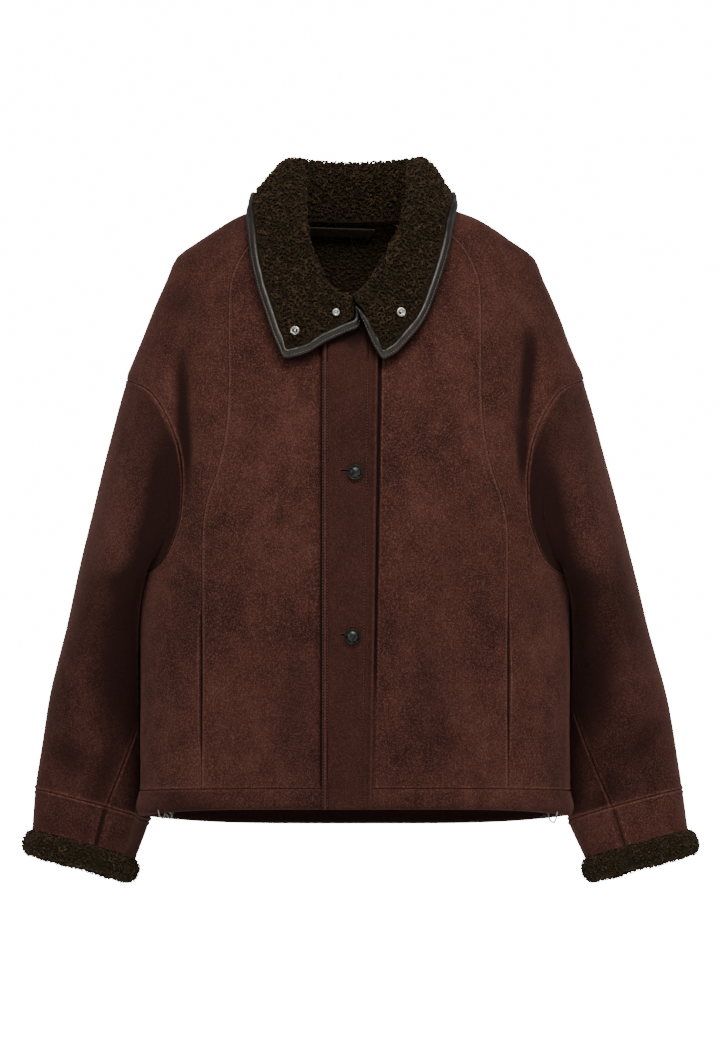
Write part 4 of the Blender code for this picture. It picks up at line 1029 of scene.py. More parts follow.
def wool(name, tip, root, raised):
    material, tree, shader, place = new_material(
        name, root, Roughness=1.0, Specular_IOR_Level=0.1, Sheen_Weight=0.12,
        Sheen_Roughness=0.6, Sheen_Tint=(0.6, 0.5, 0.3, 1))
    ground = use_group(tree, WOOL_GROUND, place, Tip=(*tip, 1), Root=(*root, 1))
    tree.links.new(ground.outputs["Colour"], shader.inputs["Base Color"])
    raise_surface(tree, shader, ground.outputs["Height"], raised)
    return material


SUEDE = suede("burgundy_suede", (0.055, 0.0170, 0.0122), (0.168, 0.072, 0.053),
              (0.013, 0.0036, 0.0027), 0.8, 0.5, 0.15)
BAND_SUEDE = suede("smooth_suede", (0.041, 0.0126, 0.0088), (0.105, 0.044, 0.032),
                   (0.010, 0.0030, 0.0023), 0.4, 0.35, 0.12)
SHORN_WOOL = wool("shorn_wool", (0.070, 0.043, 0.021), (0.018, 0.0108, 0.0052), 0.002)
WOOL_BASE = wool("wool_base", (0.034, 0.020, 0.0095), (0.010, 0.006, 0.0028), 0.0015)
print("suedes:", SUEDE.name, BAND_SUEDE.name, "wools:", SHORN_WOOL.name, WOOL_BASE.name)


# %% Curls, leather, metal, thread
def curl_material(name, root, tip):
    """Wool of single curls: each curl carries its own tone, and a slow noise moves it between the root
    and the tip colour.
    """
    material, tree, shader, place = new_material(
        name, (0.03, 0.02, 0.01), Roughness=0.9, Specular_IOR_Level=0.15,
        Sheen_Weight=0.16, Sheen_Roughness=0.5, Sheen_Tint=(0.6, 0.42, 0.24, 1))
    tone = tree.nodes.new("ShaderNodeAttribute")
    tone.attribute_name = "tone"
    drift = noise(tree, place, 120.0, 2.0, 0.5)
    share = sums(tree, "MULTIPLY", sums(tree, "ADD",
                                        sums(tree, "MULTIPLY", tone.outputs["Fac"], 0.7), 0.3),
                 band(tree, drift, 0.40, 0.62, 0.2, 1.0))
    colour = blend_colours(tree, share, (*root, 1), (*tip, 1))
    tree.links.new(colour, shader.inputs["Base Color"])
    raise_surface(tree, shader, noise(tree, place, 1500.0, 2.0, 0.6), 0.0004)
    return material


def leather(name, deep, worn):
    material, tree, shader, place = new_material(
        name, deep, Specular_IOR_Level=0.42, Coat_Weight=0.35, Coat_Roughness=0.33,
        Specular_Tint=(1.0, 0.88, 0.76, 1), Coat_Tint=(1.0, 0.9, 0.8, 1))
    grain = use_group(tree, LEATHER_GRAIN, place, Deep=(*deep, 1), Worn=(*worn, 1))
    tree.links.new(grain.outputs["Colour"], shader.inputs["Base Color"])
    tree.links.new(grain.outputs["Roughness"], shader.inputs["Roughness"])
    raise_surface(tree, shader, grain.outputs["Height"], 0.0004, 0.7)
    return material


def metal(name, bright, worn, roughness):
    """Plated metal with fine scratches and a duller film in places."""
    material, tree, shader, place = new_material(name, bright, Metallic=1.0)
    film = noise(tree, place, 260.0, 3.0, 0.6)
    scratch = noise(tree, place, 700.0, 2.0, 0.6, (1.0, 1.0, 6.0))
    tree.links.new(blend_colours(tree, band(tree, film, 0.42, 0.66), (*bright, 1), (*worn, 1)),
                   shader.inputs["Base Color"])
    tree.links.new(band(tree, scratch, 0.3, 0.7, roughness * 0.8, roughness * 1.4),
                   shader.inputs["Roughness"])
    raise_surface(tree, shader, film, 0.00015)
    return material


def thread(name, colour, pale):
    """Twisted thread: slanting plies, paler on their raised tops, a painted highlight."""
    material, tree, shader, place = new_material(name, colour, Roughness=0.75, Sheen_Weight=0.1)
    plies = tree.nodes.new("ShaderNodeTexWave")
    plies.wave_type = "BANDS"
    plies.bands_direction = "DIAGONAL"
    plies.inputs["Scale"].default_value = 900.0
    plies.inputs["Distortion"].default_value = 1.5
    tree.links.new(place, plies.inputs["Vector"])
    tree.links.new(blend_colours(tree, plies.outputs["Fac"], (*colour, 1), (*pale, 1)),
                   shader.inputs["Base Color"])
    raise_surface(tree, shader, plies.outputs["Fac"], 0.0002)
    return material


CURLS = curl_material("wool_curls", (0.0075, 0.0042, 0.0016), (0.050, 0.0285, 0.0125))
CUFF_CURLS = curl_material("cuff_wool_curls", (0.013, 0.0078, 0.0035), (0.076, 0.0465, 0.0225))
LEATHER = leather("waxed_leather", (0.0045, 0.0037, 0.003), (0.019, 0.0152, 0.012))
GUNMETAL = metal("dark_plate", (0.055, 0.058, 0.052), (0.020, 0.021, 0.019), 0.34)
SILVER = metal("nickel_plate", (0.60, 0.58, 0.54), (0.30, 0.28, 0.25), 0.28)
SUEDE_THREAD = thread("burgundy_thread", (0.075, 0.027, 0.020), (0.135, 0.055, 0.040))
DARK_THREAD = thread("dark_thread", (0.060, 0.017, 0.012), (0.115, 0.040, 0.030))
GREY_THREAD = thread("grey_thread", (0.10, 0.094, 0.086), (0.26, 0.24, 0.21))
CORD = thread("pale_cord", (0.16, 0.135, 0.105), (0.34, 0.30, 0.245))
TAPE = suede("hanger_tape", (0.040, 0.026, 0.017), (0.085, 0.060, 0.040), (0.012, 0.008, 0.006),
             0.4, 0.35, 0.1)
print("materials:", len(bpy.data.materials))

# %% [markdown]
# ## Skins
# A skin is two grids of points, the suede face and the wool face, closed round their rims. What
# makes it look sewn is its edge: shearling is too thick to turn under, so it bends down into the
# seam and leaves a soft ridge beside it. The distance of each point from each edge is added up
# along the grid, and that distance gives the bend and the ridge. Long creases are soft lines given
# one by one, seen from the front, and a slow unevenness keeps the flats from looking pressed.

# %% Relief
def edge_distances(points):
    along = np.cumsum(np.linalg.norm(np.diff(points, axis=1), axis=-1), axis=1)
    down = np.cumsum(np.linalg.norm(np.diff(points, axis=0), axis=-1), axis=0)
    from_first = np.concatenate([np.zeros_like(along[:, :1]), along], axis=1)
    from_top = np.concatenate([np.zeros_like(down[:1]), down], axis=0)
    return {"first": from_first, "last": from_first[:, -1:] - from_first,
            "top": from_top, "bottom": from_top[-1:] - from_top}


def seam_relief(points, edges):
    """How far the skin sinks or stands up by its distance from each edge: (bend, ridge) for each."""
    distance = edge_distances(points)
    sink = np.zeros(points.shape[:2])
    rise = np.zeros_like(sink)
    for edge, (bend, ridge) in edges.items():
        d = distance[edge]
        sink = np.minimum(sink, -bend * rounding(d, np.maximum(bend, 0.01)))
        rise = rise + ridge * (bell(d - 2.7, 1.4) - 0.35 * bell(d - 6.6, 2.0))
    return sink + rise


def seam_rub_and_shade(points, edges):
    """How the suede looks by the seams: 1 where a ridge is pale, rubbed nap and painted highlight, -1
    for painted shade deep in the seam.
    """
    distance = edge_distances(points)
    nap = np.zeros(points.shape[:2])
    for edge, (bend, ridge) in edges.items():
        d = distance[edge]
        nap = nap + 1.7 * np.clip(ridge, 0, 1) * bell(d - 1.7, 1.1)
        nap = nap - 0.4 * np.clip(bend, 0, 1) * bell(d, 0.6)
    return nap


def soft_lines(points, lines):
    """Troughs along short lines (x, z to x, z, depth, half width), seen from the front."""
    p = points[..., [0, 2]]
    sink = np.zeros(points.shape[:2])
    for x0, z0, x1, z1, depth, width in lines:
        start, run = np.array([x0, z0]), np.array([x1 - x0, z1 - z0])
        t = ((p - start) @ run) / (run @ run)
        off = np.linalg.norm(p - start - np.clip(t, 0, 1)[..., None] * run, axis=-1)
        fade = np.sin(math.pi * np.clip(0.06 + 0.88 * t, 0, 1)) ** 0.7
        sink -= depth * fade * bell(off, width)
    return sink


def unevenness(points, size, seed):
    """A slow wave over the skin, a few waves of 50 to 150 mm added together."""
    rng = np.random.default_rng(seed)
    total = np.zeros(points.shape[:2])
    for _ in range(7):
        direction = unit(rng.normal(size=3) * (1.3, 0.8, 0.7))
        length = rng.uniform(50, 150)
        total += np.sin(points @ direction * 2 * math.pi / length + rng.uniform(0, 6.28))
    return total * size / 2.6


print("relief ready")


# %% Closed skins
def mesh_of(name, points, faces, *materials):
    """A mesh of points in millimetres, however they are arranged, and of faces."""
    mesh = bpy.data.meshes.new(name)
    mesh.from_pydata((points.reshape(-1, 3) * MM).tolist(), [], faces)
    mesh.update()
    for material in materials:
        mesh.materials.append(material)
    return mesh


def paint(mesh, label, values):
    """Keeps one number a point, for a material or a tree to read."""
    mesh.attributes.new(label, "FLOAT", "POINT").data.foreach_set("value", values)


def closed_mesh(name, outer, inner, materials, ring=False, nap=None):
    """A closed wall between two grids; the outer face takes the first material and the nap and painted
    light values, the inner face -1, painted shade.
    """
    rows, cols = outer.shape[:2]
    points = np.concatenate([outer.reshape(-1, 3), inner.reshape(-1, 3)])
    half = rows * cols
    last = cols if ring else cols - 1
    r, c = np.meshgrid(np.arange(rows - 1), np.arange(last), indexing="ij")
    r, c = r.ravel(), c.ravel()
    d = (c + 1) % cols
    face = np.stack([r * cols + c, r * cols + d, (r + 1) * cols + d, (r + 1) * cols + c], -1)
    c, low = np.arange(last), (rows - 1) * cols
    d = (c + 1) % cols
    rim = [np.stack([half + c, half + d, d, c], -1),
           np.stack([low + c, low + d, half + low + d, half + low + c], -1)]
    if not ring:
        a = np.arange(rows - 1) * cols
        rim.append(np.stack([a, a + cols, half + a + cols, half + a], -1))
        a = a + cols - 1
        rim.append(np.stack([a + cols, a, half + a, half + a + cols], -1))
    faces = np.concatenate([face, (half + face)[:, ::-1], *rim])
    mesh = mesh_of(name, points, faces.tolist(), *materials)
    kinds = np.zeros(len(faces), np.int32)
    kinds[len(face):2 * len(face)] = len(materials) - 1
    mesh.polygons.foreach_set("material_index", kinds)
    if nap is not None:
        # The inner face is painted fully dark: painted shade.
        values = np.concatenate([np.broadcast_to(nap, (rows, cols)).ravel(), np.full(half, -1.0)])
        paint(mesh, "nap", values)
    return finished(name + "_skin", mesh)


def finished(name, mesh, sharp=50):
    """Turns a mesh right way out, shades it smooth and puts it in the scene."""
    mesh.calc_loop_triangles()
    v = np.empty(len(mesh.vertices) * 3)
    mesh.vertices.foreach_get("co", v)
    v = v.reshape(-1, 3)
    t = np.empty(len(mesh.loop_triangles) * 3, np.int32)
    mesh.loop_triangles.foreach_get("vertices", t)
    t = t.reshape(-1, 3)
    if np.einsum("ij,ij->i", v[t[:, 0]], np.cross(v[t[:, 1]], v[t[:, 2]])).sum() < 0:
        mesh.flip_normals()
    mesh.shade_smooth()
    mesh.set_sharp_from_angle(angle=math.radians(sharp))
    piece = bpy.data.objects.new(name, mesh)
    bpy.context.scene.collection.objects.link(piece)
    return piece


def dress(piece, slot, *nodes):
    """The piece rides on the coat's one body and stands for its solid."""
    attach(piece, "root")
    if nodes:
        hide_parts(*nodes)
    return piece


def report(piece):
    area = sum(face.area for face in piece.data.polygons) / 2
    print(f"{piece.name}: {len(piece.data.loop_triangles)} triangles, {area:.4f} square metres of cloth")
    return piece


print("skin builder ready")


# %% [markdown]
# ## The body
# Two panels make each front, joined by the long curved seam that runs down from the neck and holds
# the pocket mouth. The seam's inner side carries the paler ridge. At the pocket the outer panel is
# drawn back a little, so that the mouth stands open as a narrow dark slit.

# %% Creases of the body
POCKET = (-412.0, -592.0)     # top and bottom of a pocket mouth
POCKET_GAPE = {-1: 2.6, 1: 2.0}

PLACKET_TOP, PLACKET_BOTTOM, PLACKET_LEFT = -92.0, FRONT_HEM_Z, -36.0

DEEPEST_FOLD = -2.0
FOLD_FADE = 9.0               # a crease fades out this far from a panel's side edges

# Soft lines as seen from the front: x, z to x, z, depth, half width.
BODY_LINES = [
    (-188, -66, -194, -100, 1.6, 20), (-191, -138, -187, -300, 5.4, 8),
    (176, -196, 184, -268, 1.6, 5),
    (194, -112, 187, -205, 4.8, 8), (187, -180, 187, -292, 4.4, 7),
    (-60, -440, -70, -600, 1.2, 26), (70, -420, 92, -590, 1.3, 24),
    (-120, -150, -112, -260, 1.2, 26), (112, -300, 100, -420, 1.1, 24),
    (-190, -395, -205, -520, 1.6, 16),
    (196, -400, 204, -500, 1.8, 15),
]
BACK_LINES = [
    (-150, -60, -170, -150, 2.2, 22), (150, -60, 172, -150, 2.2, 22),
    (-60, -200, -40, -420, 1.6, 28),
    (70, -180, 40, -400, 1.5, 30), (-130, -300, -120, -560, 1.8, 24),
    (136, -320, 120, -570, 1.8, 26),
    (0, -430, 10, -600, 1.4, 24), (-150, -230, -60, -262, 1.2, 16), (150, -240, 70, -275, 1.2, 16),
]


def placket_right(z):
    return 26.0 - 7.5 * (z - PLACKET_TOP) / (PLACKET_BOTTOM - PLACKET_TOP)


def beside_placket(x, z):
    """1 in the crevice along the placket's two edges, where no light gets in; just past the right
    crevice below 0, a thin painted highlight.
    """
    off = x - placket_right(z)
    wide = 2.9 - 1.2 * np.clip((-100 - z) / 400, 0, 1)
    right = np.exp(-(((off - 1.2) / wide) ** 4)) - 0.6 * bell(off - wide - 3.0, 1.1)
    left = bell(x - PLACKET_LEFT + 0.8, 1.2)
    return np.where(z > PLACKET_BOTTOM - 1, right + 0.7 * left, 0)


LEAF_LOW = np.array([
    # along the lower edge of the collar's two leaves: x, z
    (-97, -93), (-85, -127), (-75, -143.5), (-54, -139), (-32, -126.5), (-11, -116.5), (6, -107.5),
    (8.5, -103.5), (15, -119.5), (23, -135), (31, -144.5), (43, -139), (58, -124), (76, -100),
    (90, -67),
], float)


def under_collar(x, z):
    """1 right below the leaves' edge, where they keep the light off, 0 some way down."""
    below = np.interp(x, *LEAF_LOW.T, left=40, right=40) - z
    reach = 6.5 + 17 * bell(x - 3, 17)
    return bell(np.maximum(below, 0), reach) * (np.abs(x + 4) < 96)


def painted_light_falloff(points):
    """Painted light: a little darker towards the hem and the cuffs and on the outer shoulders, and paler
    low down on the sides.
    """
    x, z = np.abs(points[..., 0]), points[..., 2]
    shoulder = np.clip((z + 190) / 60, 0, 1) * np.clip((x - 110) / 60, 0, 1)
    side = bell(x - 206, 32) * np.clip((-400 - z) / 60, 0, 1)
    return 0.26 * np.clip((-150 - z) / 450, 0, 1.1) + 0.28 * shoulder - 0.45 * side


def body_skin(name, x, z, back, edges, seed):
    base = body(x, z, back)
    normal = unit(body(x, z, back, out=1.0) - base)
    folds = soft_lines(base, BACK_LINES if back else BODY_LINES)
    distance = edge_distances(base)
    clear = np.clip(np.minimum(distance["first"], distance["last"]) / FOLD_FADE, 0, 1)
    height = seam_relief(base, edges) + np.maximum(folds, DEEPEST_FOLD) * clear
    height = height + unevenness(base, 0.55, seed)
    # Painted shade in the seams and creases, pale seam ridges (rubbed nap and painted highlight), and
    # the painted light falloff.
    nap = seam_rub_and_shade(base, edges) + folds / 5.0 - painted_light_falloff(base)
    if not back:
        crevice = beside_placket(x, z)
        # Painted shadow in the crevices beside the placket and under the collar's leaves, and a thin
        # painted highlight past the right crevice.
        nap = nap - 1.3 * crevice - 1.0 * under_collar(x, z)
        height = height - 2.2 * np.clip(crevice, 0, 1) + 0.6 * np.clip(-crevice, 0, 1)
    inner = base - normal * WALL
    return closed_mesh(name, base + normal * height[..., None], inner, [SUEDE, SHORN_WOOL], nap=nap)


def mouth(z):
    """1 in the middle of a pocket mouth, 0 above and below it."""
    share = np.clip((POCKET[0] - z) / (POCKET[0] - POCKET[1]), 0, 1)
    return np.sin(math.pi * share) ** 0.6


print("creases:", len(BODY_LINES), "in front,", len(BACK_LINES), "behind")


# %% Front panels
def front_centre_skin(name, side, seed):
    t = (len(FRONT_ROWS) - 1) * steps(540, 5.0)
    u = steps(165, 4.5)
    if side > 0:     # finer where the placket's free edge lies over this panel
        u = np.unique(np.concatenate([u, np.linspace(0.28, 0.42, 29)]))
    x, z = front_centre_at(side, t, u)
    slit = mouth(z[:, -1:])
    ridge = 1.0 + 0.25 * np.sin(z[:, -1:] / 9.0) - 0.2 * slit
    edges = {"last": (0.9 + 2.0 * slit, ridge), "top": (1.5, 0.0), "bottom": (1.2, 0.5)}
    return dress(body_skin(name, x, z, False, edges, seed), "suede", name)


def rows_for(last, share, top, under):
    """Rows of a panel, with rows of their own where the sleeve seam starts and ends."""
    return np.unique(np.round(np.concatenate([last * share, [top - 0.02, top, top + 0.04, under]]),
                              4))


def sewn_side(t, top, under):
    """Bend and ridge of a panel's outer edge: a sleeve seam between two rows, else a side seam."""
    sleeve = ((t > top) & (t < under))[:, None]
    return np.where(sleeve, 0.9, 0.6), np.where(sleeve, 0.8, 0.0)


def front_side_skin(name, side, seed):
    t = rows_for(len(FRONT_ROWS) - 1, steps(560, 5.0), ROW_T, ROW_U)
    u = steps(110, 4.2)
    x, z = front_side_at(side, t, u)
    slit = mouth(z[:, :1])
    x = x + side * POCKET_GAPE[side] * slit * bell(np.arange(len(u)), 9.0)
    edges = {"first": (0.8 + 2.0 * slit, 0.2 + 0.3 * slit), "last": sewn_side(t, ROW_T, ROW_U),
             "top": (0.9, 0.0), "bottom": (1.2, 0.5)}
    return dress(body_skin(name, x, z, False, edges, seed), "suede", name)


FRONT_CENTRES = [front_centre_skin("front_centre_left", -1, 11),
                 front_centre_skin("front_centre_right", 1, 12)]
FRONT_SIDES = [front_side_skin("front_side_left", -1, 21),
               front_side_skin("front_side_right", 1, 22)]
for piece, wide, area in zip(FRONT_CENTRES, (0.17, 0.235), (0.080, 0.115)):
    report(piece)
for piece in FRONT_SIDES:
    report(piece)


# %% Back panel
def back_skin(name, seed):
    t = rows_for(len(BACK_ROWS) - 1, steps(640, 5.2), BACK_T, BACK_U)
    u = 2 * steps(560, 5.2) - 1
    x, z = back_at(t, u)
    side = sewn_side(t, BACK_T, BACK_U)
    edges = {"first": side, "last": side, "top": (0.9, 0.0), "bottom": (1.2, 0.6)}
    return dress(body_skin(name, x, z, True, edges, seed), "suede", name)


BACK_PANEL = back_skin("back_panel", 31)
report(BACK_PANEL)


# %% [markdown]
# ## Hem bands and pocket facings
# The hem band is a strip folded in half along its lower edge, with a drawcord inside, so it is a
# little fuller than the panels above it. Its outer and inner grids meet in a round lower edge.

# %% Hem bands
def hem_band_skin(name, x0, x1, back, seed):
    w = float(half_width(-630.0))
    a0, a1 = math.asin(np.clip(x0 / w, -1, 1)), math.asin(np.clip(x1 / w, -1, 1))
    turn = a0 + (a1 - a0) * steps(abs(a1 - a0) * 200, 4.5)
    s = np.abs(np.sin(turn))
    top = band_top(s, back)
    low = hem(s, back)
    down = steps(24, 2.2, (0, 0.3, 0.75, 1.3, 2.0, 2.9, 4.0))
    outer, inner = [], []
    for share in down:
        z = top + (low - top) * share
        tuck = WALL / 2 * rounding(z - low, WALL / 2)
        x = half_width(z) * np.sin(turn)
        full = 1.5 * math.sin(math.pi * min(1.0, share * 1.1)) ** 0.8
        outer.append(body(x, z, back, out=full - tuck))
        inner.append(body(x, z, back, out=tuck - WALL))
    outer, inner = np.array(outer), np.array(inner)
    normal = unit(outer - inner)
    ends = (1.2, 0.6)
    sewn_edges = {"top": (1.4, 0.3), "first": ends, "last": ends}
    height = seam_relief(outer, sewn_edges)
    height = height * (down < 0.75)[:, None]
    height = height + unevenness(outer, 0.5, seed) * (1 - down[:, None] ** 4)
    # Pale seam ridges (rubbed nap and painted highlight) and painted shade in the seams; the band is
    # also set darker, most at its lower edge, and on the front darker round x -190.
    nap = seam_rub_and_shade(outer, sewn_edges) - 0.22 - 0.25 * down[:, None] ** 3
    if not back:
        nap = nap - 0.3 * bell(outer[..., 0] + 190, 45)
    return dress(closed_mesh(name, outer + normal * height[..., None], inner, [SUEDE], nap=nap),
                 "suede", name)


HEM_BANDS = [hem_band_skin("hem_band_front_left", -260, FRONT_MIDDLE[-1], False, 41),
             hem_band_skin("hem_band_front_right", FRONT_MIDDLE[1], 260, False, 42),
             hem_band_skin("hem_band_back", -260, 260, True, 43)]
for piece, length in zip(HEM_BANDS, (0.25, 0.32, 0.56)):
    report(piece)


def pocket_facing_skin(name, side):
    z = np.linspace(-408, -588, 40)[:, None]
    x = side * np.linspace(156, 184, 9)[None, :]
    outer, inner = body(x, z, out=-WALL - 1.0), body(x, z, out=-WALL - 2.6)
    return dress(closed_mesh(name, outer, inner, [BAND_SUEDE]), "placket_suede", name)


for label, side in SIDES:
    facing = pocket_facing_skin(f"pocket_facing_{label}", side)
    report(facing)

# %% [markdown]
# ## Sleeves and cuffs
# Each sleeve is an upper and an under half. The front seam between them runs down the inside of the
# arm and comes into sight above the cuff. The suede is calm here, with a few long soft folds where
# the arm leaves the body.

# %% Sleeve skins
SLEEVE_LINES = {
    -1: [(-210, -240, -222, -395, 3.0, 14), (-250, -250, -262, -380, -1.6, 16),
         (-270, -420, -262, -560, 2.4, 20),
         (-300, -330, -320, -470, 1.6, 20), (-330, -560, -300, -600, 1.8, 16),
         (-262, -560, -286, -640, 1.8, 12)],
    1: [(212, -262, 218, -400, 3.0, 14), (250, -250, 262, -390, -1.6, 16),
        (272, -430, 262, -560, 2.4, 20),
        (302, -330, 318, -480, 1.5, 20), (332, -540, 300, -590, 1.6, 16),
        (290, -600, 262, -650, 1.8, 12)],
}
SLEEVE_BACK_LINES = [(222, -240, 226, -400, 4.0, 14), (270, -260, 300, -420, 1.8, 20),
                     (250, -430, 300, -470, 2.2, 16), (262, -500, 318, -545, 2.0, 16),
                     (330, -560, 290, -620, 1.8, 16)]


UNDERARM_Z = -384.0
# How much darker every sleeve point is set.
SLEEVE_DARKER = -0.36
END_HAIR = 0.001              # a sleeve's last ring is read this much before its end
SLEEVE_SHADE = {-1: 0.95, 1: 0.72}


def sheltered(points, rear):
    """1 on the sleeve right beside the body, where its edge keeps the light off; 0 further out."""
    x, z = points[..., 0], points[..., 2]
    level = np.clip(z, UNDERARM_Z, -170).ravel()
    edge = np.where(rear.ravel(), armhole(True)(level), armhole(False)(level)).reshape(z.shape)
    edge = np.where(z < UNDERARM_Z, half_width(z), edge)
    reach = 24 + 12 * bell(z + 350, 50) - 8 * np.clip((-400 - z) / 60, 0, 1)
    begin = eased(np.clip((-165 - z) / 130, 0, 1))
    low = np.clip((z + 640) / 150, 0.25, 1)
    return 1.15 * bell(np.maximum(x - edge - 2, 0), reach) * begin * low


def sleeve_skin(name, side, under, seed):
    last = len(SLEEVE) - 1
    ring = np.clip(last * steps(500, 5.0), 0.004, last - END_HAIR)
    u = steps(130 if under else 240, 4.6)
    angle = sleeve_angles(ring, u, under)
    nudged = angle + SEAM_TURN * 0.7 * (1 - 2 * u) * np.clip(ring / 2 - 1, 0, 1)[:, None]
    rings = np.repeat(ring[:, None], len(u), 1)
    base = sleeve_point(rings, nudged, side)
    normal = sleeve_normal(rings, angle, side)
    thin = 1 - UNDERARM_THIN * (1 - np.cos(angle)) / 2 * bell(rings - 0.75, 0.7)
    thin = thin * (1 - 0.75 * np.exp(-((base[..., 0] - 205) ** 2
                                       + (base[..., 2] + 330) ** 2) / 55**2))
    even = normal.copy()
    for _ in range(4):               # evened out, so that the wall doesn't cross itself in the fold
        even[1:-1, 1:-1] = (even[:-2, 1:-1] + even[2:, 1:-1] + even[1:-1, :-2] + even[1:-1, 2:]) / 4
    inner = base - (SLEEVE_WALL * thin)[..., None] * unit(even)
    ridge = 0.5 * np.clip(ring / 2 - 1, 0, 1)[:, None]
    bend = (0.05 + 1.15 * np.clip(ring / 2 - 0.9, 0, 1))[:, None]
    tight = bell(angle[:1] - math.pi, 0.5)
    edges = {"top": (0.5, 0.8 - 0.7 * tight), "bottom": (0.9, 0.9),
             "first": (bend, ridge), "last": (bend, ridge * 0.6)}
    seen = mirrored(base, side)
    lines = np.where(normal[..., 1] < 0, soft_lines(seen, SLEEVE_LINES[side]),
                     soft_lines(base, SLEEVE_BACK_LINES))
    calm = np.clip(np.abs(normal[..., 1]) * 2.5, 0, 1) * np.clip(rings - 0.4, 0, 1)
    height = seam_relief(base, edges) + lines * calm
    height = height + unevenness(seen, 0.5, seed) * np.clip(rings - 0.3, 0, 1)
    height = np.maximum(height, -0.4 * SLEEVE_WALL * thin)        # never down to the wool side
    outer = base + normal * height[..., None]
    # Painted shade in seams and creases, painted highlight on raised folds and seam ridges, rubbed nap
    # on the ridges, and painted shade beside the body.
    nap = seam_rub_and_shade(base, edges) + lines * calm / 5.0
    nap = nap - SLEEVE_SHADE[side] * sheltered(base, normal[..., 1] > 0)
    nap = nap + SLEEVE_DARKER - 0.1 * painted_light_falloff(base)
    piece = closed_mesh(name, mirrored(outer, side), mirrored(inner, side), [SUEDE, SHORN_WOOL],
                        nap=nap)
    return dress(piece, "suede", name)


for label, side in SIDES:
    upper = sleeve_skin(f"sleeve_upper_{label}", side, False, 50 + side)
    under = sleeve_skin(f"sleeve_under_{label}", side, True, 60 + side)
    report(upper)
    report(under)


# %% [markdown]
# The cuff is a band of suede with the skin's wool rolled outwards below it. The band's own seams
# carry on from the sleeve's. The roll is a fat ring: its section is a round, flattened towards the
# wrist, and it swells and thins a little as it goes round.

# %% Cuff bands
CUFF_SEAMS = 102, 248         # angles of the band's two seams, in degrees
# How much darker each cuff band is set.
CUFF_DARKER = {-1: -0.42, 1: 0.0}


def cuff_band_skin(name, side, seed):
    angle = np.linspace(0, 2 * math.pi, 97)[:-1]
    down = steps(44, 3.0)
    outer = np.array([cuff_ring(r, angle, side) for r in down])
    inner = np.array([cuff_ring(r, angle, side, out=-SLEEVE_WALL) for r in down])
    end = np.full_like(angle, len(SLEEVE) - 1 - END_HAIR)
    inner[0] = outer[0] - SLEEVE_WALL * sleeve_normal(end, angle, side)
    seams = np.zeros_like(angle)
    for turn in CUFF_SEAMS:
        off = (np.degrees(angle) - turn + 180) % 360 - 180
        seams += -1.6 * bell(off, 1.6) + 0.6 * bell(np.abs(off) - 5.5, 2.5)
    radial = unit(outer - outer.mean(axis=1, keepdims=True))
    sewn_edges = {"top": (1.4, 0.7), "bottom": (1.2, 0.3)}
    height = seam_relief(outer, sewn_edges) + seams + unevenness(outer, 0.5, seed)
    # Painted shade in the band's seam grooves, pale beside them (rubbed nap and painted highlight), and
    # the band's own darker setting.
    nap = seam_rub_and_shade(outer, sewn_edges) + np.where(seams < 0, seams / 1.6, seams) + CUFF_DARKER[side]
    outer = outer + radial * height[..., None]
    piece = closed_mesh(name, mirrored(outer, side), mirrored(inner, side), [SUEDE, SHORN_WOOL],
                        True, nap)
    return dress(piece, "suede", name)


for label, side in SIDES:
    cuff = cuff_band_skin(f"cuff_band_{label}", side, 70 + side)
    report(cuff)


# %% Rolls of wool at the cuffs
JOIN_TURN = {-1: 103.0, 1: 104.0}     # where the roll's two ends meet, below the band's front seam


def cuff_roll(name, side):
    angle = np.linspace(0, 2 * math.pi, 181)[:-1]
    middle = cuff_ring(1.0, angle, side, out=-2.0)
    down = unit(np.array([CUFF_OUT[side], CUFF_LEAN, -CUFF_DROP]))
    middle = middle + down * (FUR_ROLL * 1.09 - 1.5)
    radial = unit(middle - middle.mean(axis=0))
    radial = unit(radial - (radial @ down)[:, None] * down)
    turns = np.linspace(0, 2 * math.pi, 29)[:-1]
    lumps = 1 + 0.05 * np.sin(5 * angle) + 0.04 * np.sin(9 * angle + 1)
    off = np.abs((np.degrees(angle) - JOIN_TURN[side] + 180) % 360 - 180)
    strip = np.exp(-(off / 7.4) ** 4)
    dent = bell(off - 8.4, 1.2)
    rows = []
    for k in turns:
        reach = (FUR_ROLL - 1.6) * lumps - 1.2 * dent + 1.2 * strip
        rows.append(middle + radial * (reach * math.cos(k) * 0.78)[:, None]
                    + down * ((reach + 1.4) * math.sin(k))[:, None])
    rows = mirrored(np.array(rows), side)
    n, m = rows.shape[:2]
    r, c = np.meshgrid(np.arange(n), np.arange(m), indexing="ij")
    r, c = r.ravel(), c.ravel()
    s, d = (r + 1) % n, (c + 1) % m
    faces = np.stack([r * m + c, r * m + d, s * m + d, s * m + c], -1).tolist()
    mesh = mesh_of(name, rows, faces, WOOL_BASE)
    paint(mesh, "cover", np.tile(1 - np.clip(strip * 1.4, 0, 1), n))
    piece = dress(finished(name + "_roll", mesh), "fur", name)
    return piece


CUFF_ROLLS = [cuff_roll("cuff_fur_left", -1), cuff_roll("cuff_fur_right", 1)]
print("cuff rolls:", [piece.name for piece in CUFF_ROLLS])

# %% [markdown]
# ## Placket
# The placket is a folded strip of smoother, darker suede that laps over the centre. Its left side is
# the folded, double-stitched edge where it is sewn to the front; its right side is a free, rounded
# edge with one row of stitches. Each button sits in a stitched box, at the end of a buttonhole.

# %% Placket
BUTTONS = [("button_upper", 0.0, -267.7), ("button_lower", -2.7, -447.0)]
BOX_HALF = 12.0               # half the height of the stitched box round a button
HOLE_LEFT = -15.5             # where a buttonhole starts
PLACKET_CORNER = 9.0          # how round its free lower corner is


def stitch_row_right(z):
    return placket_right(z) - 11.0


